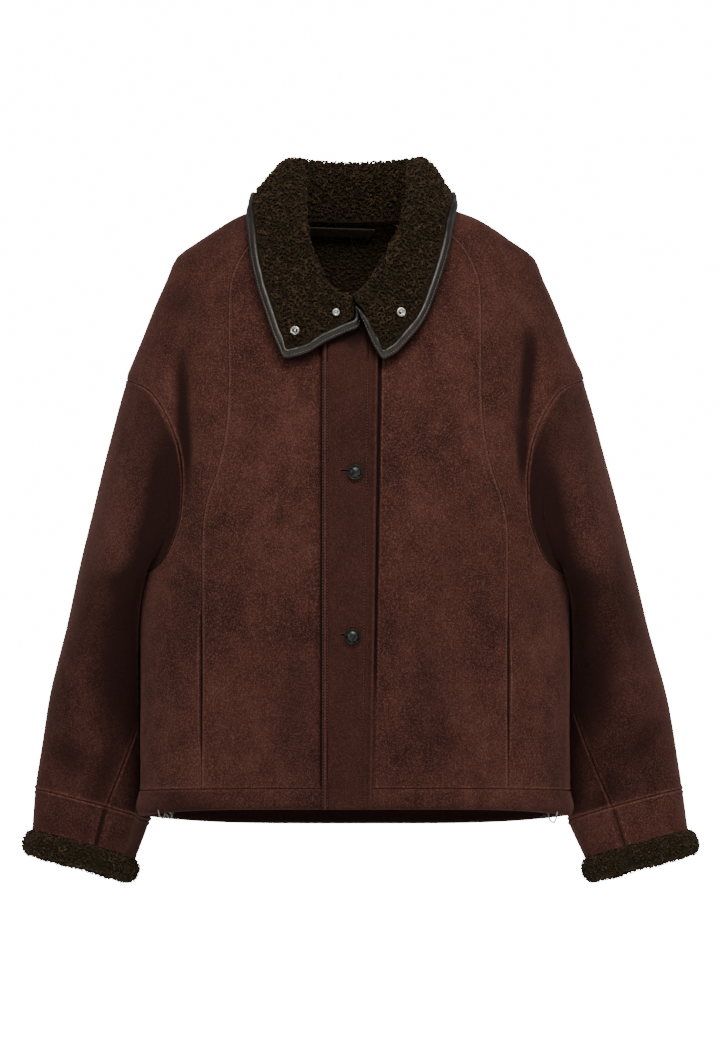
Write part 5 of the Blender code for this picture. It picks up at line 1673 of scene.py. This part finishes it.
def box_sides(bz):
    """The heights of a stitched box's lower and upper side."""
    return bz - BOX_HALF, bz + BOX_HALF


def in_box(x, bz):
    return (x > PLACKET_LEFT + 6) & (x < stitch_row_right(bz) + 2)


def groove(distance, depth, width):
    return -depth * bell(distance, width)


def placket_relief(x, z):
    right = placket_right(z)
    from_left, from_right = x - PLACKET_LEFT, right - x
    height = 0.8 * bell(from_left - 3.3, 1.8) + groove(from_left - 5.9, 0.7, 0.7)
    height = height + groove(from_left - 1.0, 0.5, 0.6) + 0.7 * bell(from_right - 3.5, 3.0)
    height = height + groove(stitch_row_right(z) - x, 0.7, 0.8)
    for from_rim, radius in (from_right, 2.2), (from_left, 1.6), (z - PLACKET_BOTTOM, 2.0):
        height = height - radius * rounding(from_rim, radius)
    for _, bx, bz in BUTTONS:
        for edge in box_sides(bz):
            height = height + groove(z - edge, 0.6, 0.8) * in_box(x, bz)
        on_hole = np.clip((x - HOLE_LEFT) / 2.5, 0, 1) * (x < bx)
        height = height + (groove(z - bz, 1.8, 0.8) + 0.45
                           * bell(np.abs(z - bz) - 2.2, 0.9)) * on_hole
        height = height - 0.8 * np.exp(-(((x - bx) ** 2 + (z - bz) ** 2) / 100.0))
    return height


def placket_light_and_shade(x, z):
    """Painted highlight on the raised left edge, the free edge and beside the box stitches, painted
    shade in every stitched groove, and painted shadow under the collar.
    """
    right = placket_right(z)
    from_left, from_right = x - PLACKET_LEFT, right - x
    nap = 1.2 * bell(from_left - 3.4, 1.1) + 0.8 * bell(from_right - 1.6, 0.9)
    nap = nap + groove(from_left - 1.0, 0.9, 0.6) + groove(from_left - 5.9, 1.0, 0.7)
    nap = nap - 0.5 * bell(from_right - 4.6, 1.2)
    nap = nap + groove(stitch_row_right(z) - x, 0.6, 0.7)
    for _, bx, bz in BUTTONS:
        for edge in box_sides(bz):
            pale = 0.35 * bell(np.abs(z - edge) - 1.7, 0.7)
            nap = nap + (groove(z - edge, 0.8, 0.7) + pale) * in_box(x, bz)
        nap = nap + groove(z - bz, 1.2, 0.9) * (x > HOLE_LEFT) * (x < bx)
    return nap - 1.2 * under_collar(x, z)


def placket_skin(name):
    down = steps(546.5, 2.2, (0, 0.5, 1.2, 2, 3.2, 5, 7, 9))
    z = PLACKET_TOP + (PLACKET_BOTTOM - PLACKET_TOP) * down
    for _, _, bz in BUTTONS:
        for centre in (bz, *box_sides(bz)):
            z = np.concatenate([z[np.abs(z - centre) > 2.2], centre + np.linspace(-2.1, 2.1, 8)])
    z = np.sort(z)[::-1]
    u = np.unique(np.concatenate([np.linspace(0, 1, 34), np.linspace(0.01, 0.13, 14),
                                  np.linspace(0.79, 0.84, 5),
                                  steps(60, 2.4, (0, 0.4, 0.9, 1.3, 1.8, 2.6, 3.4))]))
    z, u = np.meshgrid(z, u, indexing="ij")
    corner = PLACKET_CORNER * np.maximum(0, 1 - (z - PLACKET_BOTTOM) / PLACKET_CORNER)
    right = placket_right(z) - (PLACKET_CORNER
                                - np.sqrt(np.maximum(0, PLACKET_CORNER**2 - corner**2)))
    x = PLACKET_LEFT + (right - PLACKET_LEFT) * u
    height = placket_relief(x, z)
    base = body(x, z, out=-1.2)            # down into the fronts' own unevenness
    face = body(x, z, out=PLACKET_LIFT + PLACKET_WALL + height)
    face[..., 1] -= 0.6 * unevenness(face, 0.35, 81)
    nap = placket_light_and_shade(x, z)
    return dress(closed_mesh(name, face, base, [BAND_SUEDE], nap=nap), "placket_suede", name)


PLACKET = placket_skin("placket")
report(PLACKET)

# %% [markdown]
# ## Collar
# The collar is the one place where the wool side is turned out. Its ground follows the two curves at
# each station, with a slow swell like the lie of a fleece, and it lies a little under the curls that
# come on top. The other face is suede. The binding is a strip of waxed leather over a soft cord,
# drawn in by its stitches: one smooth swell from the stitches out over the edge and under it.

# %% Collar ground
PER_STATION = 6
COLLAR_ROWS = 42 * PER_STATION + 1
CURL_ROOM = 1.9               # how far the ground lies under the tips of the curls


def collar_frame(across):
    """Grid, normals and edge data of the collar, as fine as asked across."""
    grid, seam_normal = collar_grid(COLLAR_ROWS, across)
    normal = grid_normals(grid)
    if normal[COLLAR_ROWS // 2, -2, 1] < 0:
        normal = -normal
    normal[:PER_STATION, across:] = normal[PER_STATION, across:]
    normal[-PER_STATION:, across:] = normal[-PER_STATION - 1, across:]
    share = np.clip(np.arange(normal.shape[1]) / (across / 8), 0, 1)[None, :, None]
    normal = unit(-seam_normal[:, None] * (1 - share) + normal * (share + 1e-6))
    station = np.arange(COLLAR_ROWS) / PER_STATION
    ends = np.minimum(station, station[::-1])
    edge = grid[:, -1]
    back = max(2, across // 4)
    pull = unit(grid[:, -1 - back] - edge)
    tangent = unit(np.gradient(edge, axis=0))
    sine = np.sqrt(np.clip(1 - (pull * tangent).sum(-1) ** 2, 0.35, 1))
    leaf = np.linalg.norm(edge - grid[:, across - 1], axis=1)
    width = np.minimum(BINDING_W / sine, 0.3 * leaf)
    thick = np.interp(ends, [0, 1, 5], [0.4, 0.62, 1.0])
    return grid, normal, edge, pull, width, ends, thick


def collar_skin(name):
    across = 33
    grid, normal, edge, pull, width, ends, thick = collar_frame(across)
    seam = edge + pull * (width + np.interp(ends, [0, 1, 2], [4.6, 4.5, 0.9]))[:, None]
    share = np.clip((np.arange(grid.shape[1]) - across + 1) / (across - 1), 0, 1)[None, :, None]
    short = grid + share * (seam - edge)[:, None]
    along = np.linspace(0, 1, grid.shape[1])
    wall = np.interp(along, (0, 0.25, 1), (WALL, COLLAR_WALL, COLLAR_WALL))[None, :]
    wall = wall * thick[:, None]
    inner = short - normal * wall[..., None]
    rim = np.minimum(1, np.minimum(ends[:, None] * 6.0, (1 - along[None, :]) * 60) / 3.0)
    sunk = CURL_ROOM * np.clip(rim, 0.2, 1) * np.clip(along * 12, 0, 1)
    outer = short - normal * (sunk - unevenness(short, 1.0, 91) * np.clip(rim, 0, 1))[..., None]
    piece = closed_mesh(name, outer, inner, [WOOL_BASE, SUEDE])
    ground = np.ones(outer.shape[:2])
    hidden = (along[None, :] < 0.04) | (along[None, :] > 0.98) | (ends[:, None] < 0.15)
    ground[np.broadcast_to(hidden, ground.shape)] = 0
    paint(piece.data, "cover", np.concatenate([ground.ravel(), np.zeros(ground.size)]))
    return dress(piece, "fur", name)


COLLAR = report(collar_skin("collar"))


# %% Binding of the collar
BINDING_PROFILE = [
    # back from the edge, level above the fur face, share of the swell
    (1.0, 0.2, 0), (0.97, 1.3, 0.2), (0.89, 2.2, 0.8), (0.76, 2.8, 1), (0.62, 2.8, 1),
    (0.50, 2.2, 0.7),
    (0.38, 1.2, 0.2), (0.25, 0.35, 0), (0.18, 0.30, 0), (0.11, -0.1, 0.1), (0.05, -0.7, 0.1),
    (0.0, -1.7, 0),
    (-0.02, -2.6, 0), (0.0, -4.4, 0), (0.08, -6.2, 0), (0.28, -7.6, 0), (0.6, -8.4, 0),
    (1.0, -8.8, 0),
]


def binding_skin(name):
    grid, normal, edge, pull, width, ends, thick = collar_frame(33)
    n = normal[:, -1]
    length = np.concatenate([[0], np.cumsum(np.linalg.norm(np.diff(edge, axis=0), axis=1))])
    swell = 0.35 * np.sin(2 * math.pi * length / 11.0)
    swell = swell + 0.3 * np.sin(2 * math.pi * length / 27.0 + 1)
    swell = swell + 0.25 * np.sin(2 * math.pi * length / 7.3 + 2)
    depth = np.minimum(thick * COLLAR_WALL, 9.0) / 9.0
    rows = []
    for back, level, full in BINDING_PROFILE:
        rise = level + swell * full
        rise = np.where(rise < 0, rise * depth, rise)
        rows.append(edge + pull * (width * 1.1 * back)[:, None] + n * rise[:, None])
    rows = np.array(rows)
    n_rows, m = rows.shape[:2]
    r, c = np.meshgrid(np.arange(n_rows), np.arange(m - 1), indexing="ij")
    r, c = r.ravel(), c.ravel()
    s = (r + 1) % n_rows
    faces = np.stack([r * m + c, r * m + c + 1, s * m + c + 1, s * m + c], -1).tolist()
    faces.append([i * m for i in range(n_rows)])
    faces.append([i * m + m - 1 for i in reversed(range(n_rows))])
    mesh = mesh_of(name, rows, faces, LEATHER)
    return dress(finished(name + "_strip", mesh, 60), "leather", name), rows[7] + n * 0.15


BINDING, BINDING_STITCH_LINE = binding_skin("collar_binding")
report(BINDING)

# %% [markdown]
# ## Curls
# Dense short wool is thousands of ringlets of 3 to 5 mm. One ringlet is a spiral swept with a thin
# round section, and Geometry Nodes scatters it over the ground: a Poisson distribution keeps the
# curls evenly apart, each is turned and tilted at random, and its own tone is stored on it before
# the instances are made real. Hair curves would be finer, but they don't survive an export.

# %% A tree that lays curls
def new_tree(name, inputs):
    tree = bpy.data.node_groups.new(name, "GeometryNodeTree")
    tree.interface.new_socket("Geometry", in_out="INPUT", socket_type="NodeSocketGeometry")
    for label, (kind, value) in inputs.items():
        socket = tree.interface.new_socket(label, in_out="INPUT", socket_type="NodeSocket" + kind)
        if value is not None:
            socket.default_value = value
    tree.interface.new_socket("Geometry", in_out="OUTPUT", socket_type="NodeSocketGeometry")
    return tree, tree.nodes.new("NodeGroupInput"), tree.nodes.new("NodeGroupOutput")


def add(tree, kind, links=(), **settings):
    """A node with its settings, and links from outputs to its inputs by name or number."""
    node = tree.nodes.new(kind)
    for label, value in settings.items():
        if hasattr(node, label):
            setattr(node, label, value)
        else:
            node.inputs[label.replace("_", " ")].default_value = value
    for target, source in dict(links).items():
        tree.links.new(source, node.inputs[target])
    return node


def curl_tree():
    tree, taken, given = new_tree("lay_curls", {
        "Spacing": ("Float", 0.0034), "Coil Radius": ("Float", 0.0015),
        "Thickness": ("Float", 0.0006),
        "Lift": ("Float", 0.0022), "Turns": ("Float", 0.8), "Tilt": ("Float", 0.9),
        "Seed": ("Int", 1),
        "Finish": ("Material", None)})
    ask = taken.outputs
    cover = add(tree, "GeometryNodeInputNamedAttribute", data_type="FLOAT", Name="cover")
    scatter = add(tree, "GeometryNodeDistributePointsOnFaces",
                  {"Mesh": ask["Geometry"], "Distance Min": ask["Spacing"], "Seed": ask["Seed"],
                   "Density Factor": cover.outputs["Attribute"]},
                  distribute_method="POISSON", Density_Max=200000.0)
    spiral = add(tree, "GeometryNodeCurveSpiral",
                 {"Start Radius": ask["Coil Radius"], "Height": ask["Lift"],
                  "Rotations": ask["Turns"]},
                 Resolution=7)
    narrow = add(tree, "ShaderNodeMath", {0: ask["Coil Radius"]}, operation="MULTIPLY")
    narrow.inputs[1].default_value = 0.45
    tree.links.new(narrow.outputs[0], spiral.inputs["End Radius"])
    along = add(tree, "GeometryNodeSplineParameter")
    taper = add(tree, "ShaderNodeMapRange", {"Value": along.outputs["Factor"]}, To_Min=1.0,
                To_Max=0.45)
    sized = add(tree, "GeometryNodeSetCurveRadius",
                {"Curve": spiral.outputs["Curve"], "Radius": taper.outputs["Result"]})
    round_section = add(tree, "GeometryNodeCurvePrimitiveCircle", {"Radius": ask["Thickness"]},
                        Resolution=3)
    lock = add(tree, "GeometryNodeCurveToMesh",
               {"Curve": sized.outputs["Curve"], "Profile Curve": round_section.outputs["Curve"]},
               Fill_Caps=True)
    soft = add(tree, "GeometryNodeSetShadeSmooth", {"Geometry": lock.outputs["Mesh"]})
    turn = add(tree, "FunctionNodeRandomValue", {"Seed": ask["Seed"]}, data_type="FLOAT_VECTOR")
    tilt = add(tree, "ShaderNodeCombineXYZ", {"X": ask["Tilt"], "Y": ask["Tilt"]})
    tilt.inputs["Z"].default_value = math.pi
    back = add(tree, "ShaderNodeVectorMath", {0: tilt.outputs["Vector"]}, operation="SCALE")
    back.inputs["Scale"].default_value = -1.0
    tree.links.new(back.outputs["Vector"], turn.inputs[0])
    tree.links.new(tilt.outputs["Vector"], turn.inputs[1])
    as_turn = add(tree, "FunctionNodeEulerToRotation", {"Euler": turn.outputs[0]})
    spin = add(tree, "FunctionNodeRotateRotation",
               {"Rotation": scatter.outputs["Rotation"], "Rotate By": as_turn.outputs["Rotation"]},
               rotation_space="LOCAL")
    size = add(tree, "FunctionNodeRandomValue", {"Seed": ask["Seed"]}, data_type="FLOAT")
    size.inputs[2].default_value, size.inputs[3].default_value = 0.75, 1.3
    curls = add(tree, "GeometryNodeInstanceOnPoints",
                {"Points": scatter.outputs["Points"], "Instance": soft.outputs["Geometry"],
                 "Rotation": spin.outputs["Rotation"], "Scale": size.outputs[1]})
    tone = add(tree, "FunctionNodeRandomValue", {"Seed": ask["Seed"]}, data_type="FLOAT")
    marked = add(tree, "GeometryNodeStoreNamedAttribute",
                 {"Geometry": curls.outputs["Instances"]}, data_type="FLOAT", domain="INSTANCE",
                 Name="tone")
    tree.links.new(tone.outputs[1], marked.inputs["Value"])
    real = add(tree, "GeometryNodeRealizeInstances", {"Geometry": marked.outputs["Geometry"]})
    coloured = add(tree, "GeometryNodeSetMaterial",
                   {"Geometry": real.outputs["Geometry"], "Material": ask["Finish"]})
    tree.links.new(coloured.outputs["Geometry"], given.inputs["Geometry"])
    return tree


def grown(name, source, tree, slot, **values):
    """Runs a tree on a copy of a piece and keeps what it makes as a plain mesh."""
    host = bpy.data.objects.new(name + "_host", source.data.copy())
    bpy.context.scene.collection.objects.link(host)
    modifier = host.modifiers.new("grow", "NODES")
    modifier.node_group = tree
    for item in tree.interface.items_tree:
        label = item.name.replace(" ", "_")
        if item.in_out == "INPUT" and label in values:
            modifier[item.identifier] = values[label]
    host.update_tag()
    bpy.context.view_layer.update()
    made = bpy.data.meshes.new_from_object(host.evaluated_get(bpy.context.evaluated_depsgraph_get()))
    made.name = name
    bpy.data.objects.remove(host, do_unlink=True)
    piece = bpy.data.objects.new(name, made)
    bpy.context.scene.collection.objects.link(piece)
    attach(piece, "root")
    made.calc_loop_triangles()
    print(f"{name}: {len(made.loop_triangles)} triangles")
    return piece


LAY_CURLS = curl_tree()
print("tree:", LAY_CURLS.name)

# %% Curls of collar and cuffs
grown("collar_curls_low", COLLAR, LAY_CURLS, "fur", Spacing=0.0039, Coil_Radius=0.0026,
      Thickness=0.0012, Lift=0.0020, Turns=0.75, Tilt=1.3, Seed=3, Finish=CURLS)
grown("collar_curls_top", COLLAR, LAY_CURLS, "fur", Spacing=0.0038, Coil_Radius=0.0019,
      Thickness=0.00085, Lift=0.0032, Turns=0.9, Tilt=0.9, Seed=8, Finish=CURLS)
for roll in CUFF_ROLLS:
    name = roll.name.replace("fur", "curls").replace("_roll", "")
    grown(name, roll, LAY_CURLS, "fur", Spacing=0.0026, Coil_Radius=0.0014, Thickness=0.0008,
          Lift=0.0014,
          Turns=0.8, Tilt=1.4, Seed=5, Finish=CUFF_CURLS)

# %% [markdown]
# ## Stitches
# A seam's thread shows as a row of short, even, slightly sunk stitches. Geometry Nodes lays them: it
# walks along a curve in equal steps and sets one small rounded stitch on each, turned along the
# line. The lines themselves come from the same functions as the seams.

# %% A tree that sews
def stitch_tree():
    tree, taken, given = new_tree("sew", {
        "Step": ("Float", 0.0032), "Length": ("Float", 0.0024), "Thread": ("Float", 0.00035),
        "Finish": ("Material", None)})
    ask = taken.outputs
    points = add(tree, "GeometryNodeCurveToPoints",
                 {"Curve": ask["Geometry"], "Length": ask["Step"]}, mode="LENGTH")
    bead = add(tree, "GeometryNodeMeshUVSphere", Segments=6, Rings=5, Radius=0.5)
    flat = add(tree, "ShaderNodeCombineXYZ",
               {"X": ask["Length"], "Y": ask["Thread"], "Z": ask["Thread"]})
    double = add(tree, "ShaderNodeVectorMath", {0: flat.outputs["Vector"]}, operation="MULTIPLY")
    double.inputs[1].default_value = (1.0, 2.0, 2.0)
    stitch = add(tree, "GeometryNodeTransform",
                 {"Geometry": bead.outputs["Mesh"], "Scale": double.outputs["Vector"]})
    soft = add(tree, "GeometryNodeSetShadeSmooth", {"Geometry": stitch.outputs["Geometry"]})
    aim = add(tree, "FunctionNodeAlignRotationToVector", {"Vector": points.outputs["Tangent"]},
              axis="X")
    sewn = add(tree, "GeometryNodeInstanceOnPoints",
               {"Points": points.outputs["Points"], "Instance": soft.outputs["Geometry"],
                "Rotation": aim.outputs["Rotation"]})
    real = add(tree, "GeometryNodeRealizeInstances", {"Geometry": sewn.outputs["Instances"]})
    coloured = add(tree, "GeometryNodeSetMaterial",
                   {"Geometry": real.outputs["Geometry"], "Material": ask["Finish"]})
    tree.links.new(coloured.outputs["Geometry"], given.inputs["Geometry"])
    return tree


def thread_curve(name, lines):
    """Lines of points in mm as one curve object of straight pieces."""
    curve = bpy.data.curves.new(name, "CURVE")
    curve.dimensions = "3D"
    for line in lines:
        spline = curve.splines.new("POLY")
        spline.points.add(len(line) - 1)
        places = np.column_stack([np.asarray(line) * MM, np.ones(len(line))])
        spline.points.foreach_set("co", places.ravel())
    return bpy.data.objects.new(name, curve)


def sewn(name, lines, slot, **values):
    source = thread_curve(name + "_line", lines)
    piece = grown(name, source, SEW, slot, **values)
    bpy.data.objects.remove(source, do_unlink=True)
    return piece


SEW = stitch_tree()
print("tree:", SEW.name)


# %% Rows of stitches
def on_placket(x, z, sunk=0.1):
    x, z = np.broadcast_arrays(np.asarray(x, float), np.asarray(z, float))
    return body(x, z, out=PLACKET_LIFT + PLACKET_WALL + placket_relief(x, z) + sunk)


def placket_lines():
    z = np.linspace(-150, PLACKET_BOTTOM + 4, 260)
    lines = [on_placket(PLACKET_LEFT + 1.0 + 0 * z, z), on_placket(PLACKET_LEFT + 5.9 + 0 * z, z),
             on_placket(stitch_row_right(z), z)]
    for _, _, bz in BUTTONS:
        x = np.linspace(PLACKET_LEFT + 9, stitch_row_right(bz) - 1, 30)
        lines += [on_placket(x, edge) for edge in box_sides(bz)]
    return lines


def princess_line(side):
    """Along the long front seam, a little to its inner side."""
    x, z = front_centre_at(side, np.linspace(0.6, 18.9, 300), np.array([1.0]))
    return body(x[:, 0] - side * 3.4, z[:, 0], out=0.85)


def buttonhole_lines():
    lines = []
    for _, bx, bz in BUTTONS:
        x = np.linspace(HOLE_LEFT, bx - BUTTON_D / 2 + 1, 20)
        lines += [on_placket(x, bz + 1.5, 0.2), on_placket(x, bz - 1.5, 0.2)]
    return lines


sewn("stitches_placket", placket_lines(), "suede", Step=0.0033, Length=0.0025, Thread=0.0003,
     Finish=SUEDE_THREAD)
sewn("stitches_seams", [princess_line(-1), princess_line(1)], "suede",
     Step=0.0036, Length=0.0022, Thread=0.00022, Finish=SUEDE_THREAD)
sewn("stitches_buttonholes", buttonhole_lines(), "suede", Step=0.0009, Length=0.0011,
     Thread=0.00035,
     Finish=DARK_THREAD)
sewn("stitches_binding", [BINDING_STITCH_LINE[4:-4]], "leather", Step=0.0034, Length=0.0026,
     Thread=0.0003,
     Finish=GREY_THREAD)

# %% [markdown]
# ## Buttons, snaps and small trim
# A button and a snap are turned: a profile of radius and height swept round an axis that faces out
# of the coat, a little rounded at each corner. The button is a low dome in a rim, the snap a ring
# with a dished middle. The hanger tape, the cord ends and their toggles finish the inside and hem.

# %% Turned pieces
def bar_mesh(name, rows, material):
    """Rings of points joined one to the next and closed at both ends."""
    n, m = rows.shape[:2]
    faces = [list(range(m)), list(reversed(range((n - 1) * m, n * m)))]
    faces += [[(r + 1) * m + c, (r + 1) * m + (c + 1) % m, r * m + (c + 1) % m, r * m + c]
              for r in range(n - 1) for c in range(m)]
    return mesh_of(name, rows, faces, material)


def turned(name, profile, place, facing, material, slot, segments=48):
    facing = unit(facing)
    side = unit(np.cross(facing, (0, 0, 1)))
    up = np.cross(side, facing)
    angle = np.linspace(0, 2 * math.pi, segments + 1)[:-1]
    profile = np.array(profile, float)
    fine = smooth(np.arange(len(profile)), profile,
                  np.linspace(0, len(profile) - 1, 3 * len(profile) - 2))
    ring = side * np.cos(angle)[:, None] + up * np.sin(angle)[:, None]
    rows = np.array([np.asarray(place) + ring * radius + facing * height for radius,
                     height in fine])
    return dress(finished(name + "_turned", bar_mesh(name, rows, material), 35), slot, name)


BUTTON_DROP = 1.8             # a button hangs a little below the middle of its hole


def button(name, x, z):
    seat = PLACKET_LIFT + PLACKET_WALL
    place = body(x, z - BUTTON_DROP, out=seat - 0.1)
    facing = body(x, z, out=seat + 1.0) - body(x, z, out=seat)
    r, h = BUTTON_D / 2, BUTTON_H
    profile = [(0.62 * r, 0), (0.9 * r, 0.06 * h), (0.985 * r, 0.2 * h), (r, 0.4 * h),
               (0.975 * r, 0.56 * h),
               (0.91 * r, 0.64 * h), (0.85 * r, 0.62 * h), (0.80 * r, 0.52 * h),
               (0.76 * r, 0.50 * h),
               (0.70 * r, 0.60 * h), (0.52 * r, 0.76 * h), (0.3 * r, 0.86 * h), (0.1 * r, 0.9 * h),
               (0.01, 0.9 * h)]
    return turned(name, profile, place, facing, GUNMETAL, "gunmetal")


LEAF, _ = collar_grid(6 * 43, 41)
LEAF = LEAF[:, 44:]
LEAF_NORMAL = grid_normals(LEAF)


def leaf_place(x, z):
    """Where the collar leaf's fur face is, seen from the front at (x, z), and which way it faces."""
    off = (LEAF[..., 0] - x) ** 2 + (LEAF[..., 2] - z) ** 2 + np.where(LEAF[..., 1] > 0, 1e6, 0)
    k = np.unravel_index(int(np.argmin(off)), off.shape)
    facing = LEAF_NORMAL[k]
    return LEAF[k], facing if facing[1] < 0 else -facing


def snap(name, x, z, diameter):
    place, facing = leaf_place(x, z)
    r = diameter / 2
    profile = [(0.8 * r, -0.5), (0.97 * r, 0.1), (r, 0.9), (0.97 * r, 1.7), (0.86 * r, 2.25),
               (0.72 * r, 2.4),
               (0.58 * r, 2.15), (0.5 * r, 1.3), (0.44 * r, 0.9), (0.3 * r, 0.85), (0.22 * r, 1.3),
               (0.1 * r, 1.45),
               (0.01, 1.45)]
    return turned(name, profile, place + facing * 0.55, facing, SILVER, "silver", 40)


for name, x, z in BUTTONS:
    report(button(name, x, z))
for name, x, z, diameter in [("snap_left_outer", -66.0, -113.3, SNAP_D),
                             ("snap_left_inner", -19.8, -93.5, 8.4),
                             ("snap_right", 51.7, -93.5, SNAP_D)]:
    report(snap(name, x, z, diameter))


# %% Hanger tape, cord ends and toggles
def hanger_tape(name):
    u = np.linspace(0, 1, 60)
    x = -57 + 79 * u[None, :] * np.ones((9, 1))
    v = np.linspace(0, 1, 9)[:, None]
    tilt = 1.5 - 3.0 * u[None, :]
    z = 8.0 - 10.0 * v + tilt + 5.0 * v * np.clip((u[None, :] - 0.9) / 0.1, 0, 1)
    swell = 0.9 * np.sin(math.pi * v) * np.ones_like(x)
    outer = body(x, z, True, out=-WALL - 3.6 - swell * 0.4)
    inner = body(x, z, True, out=-WALL - 1.6)
    return dress(closed_mesh(name, outer, inner, [TAPE]), "cord", name)


def toggle(name, x, room):
    place = body(x, -640.0, out=-WALL - room)
    place[2] = -648.5
    profile = [(0.3, 0), (2.0, 0.1), (3.4, 0.9), (3.6, 4.0), (3.0, 5.2), (3.6, 6.4), (3.5, 9.2),
               (2.0, 10.2), (0.3, 10.3)]
    return turned(name, profile, place, (0.25, 0.1, 1.0), GUNMETAL, "gunmetal", 28), place


def swept(name, path, radius, material, sides=8):
    """A round bar along a path of points in mm, thinning to a bud at both ends."""
    path = np.asarray(path, float)
    path = smooth(np.arange(len(path)), path, np.linspace(0, len(path) - 1, 8 * len(path)))
    tangent = unit(np.gradient(path, axis=0))
    across = unit(np.cross(tangent, (0.3, 1.0, 0.2)))
    other = np.cross(tangent, across)
    angle = np.linspace(0, 2 * math.pi, sides + 1)[:-1]
    share = np.linspace(0, 1, len(path))
    thin = np.clip(np.minimum(share, 1 - share) * 14, 0.25, 1) ** 0.5
    rows = np.array([p + (a * np.cos(angle)[:, None] + o * np.sin(angle)[:, None]) * radius * k
                     for p, a, o, k in zip(path, across, other, thin)])
    return dress(finished(name, bar_mesh(name, rows, material), 60), "cord")


HANGER = report(hanger_tape("neck_tape"))
CORD_ENDS = [
    # toggle, its x, room behind the band, and the x and z of the two ends that hang out of the hem
    ("hem_toggle_left", -211.0, 1.9, [[(-216, -639), (-214.5, -646), (-210.5, -648.5),
                                       (-208, -642)],
                                      [(-206, -640), (-201, -645), (-203.5, -649),
                                       (-207.5, -643)]]),
    ("hem_toggle_right", 216.0, 4.8, [[(212, -641), (213, -648), (215.5, -652), (218, -653.5)],
                                      [(222, -641), (221, -648), (219.5, -652), (218, -654)]]),
]
for name, x, room, ends in CORD_ENDS:
    _, place = toggle(name, x, room)
    for k, path in enumerate(ends):
        path = [(px, place[1] - 2.5, pz) for px, pz in path]
        report(swept(name.replace("toggle", "cord") + f"_{k + 1}", path, 0.9, CORD))

# %% Finish
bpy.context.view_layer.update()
triangles = [len(piece.data.loop_triangles) for piece in bpy.data.objects
             if piece.type == "MESH" and not piece.hide_render]
print(len(triangles), "pieces,", sum(triangles), "triangles, at most", max(triangles), "in one")
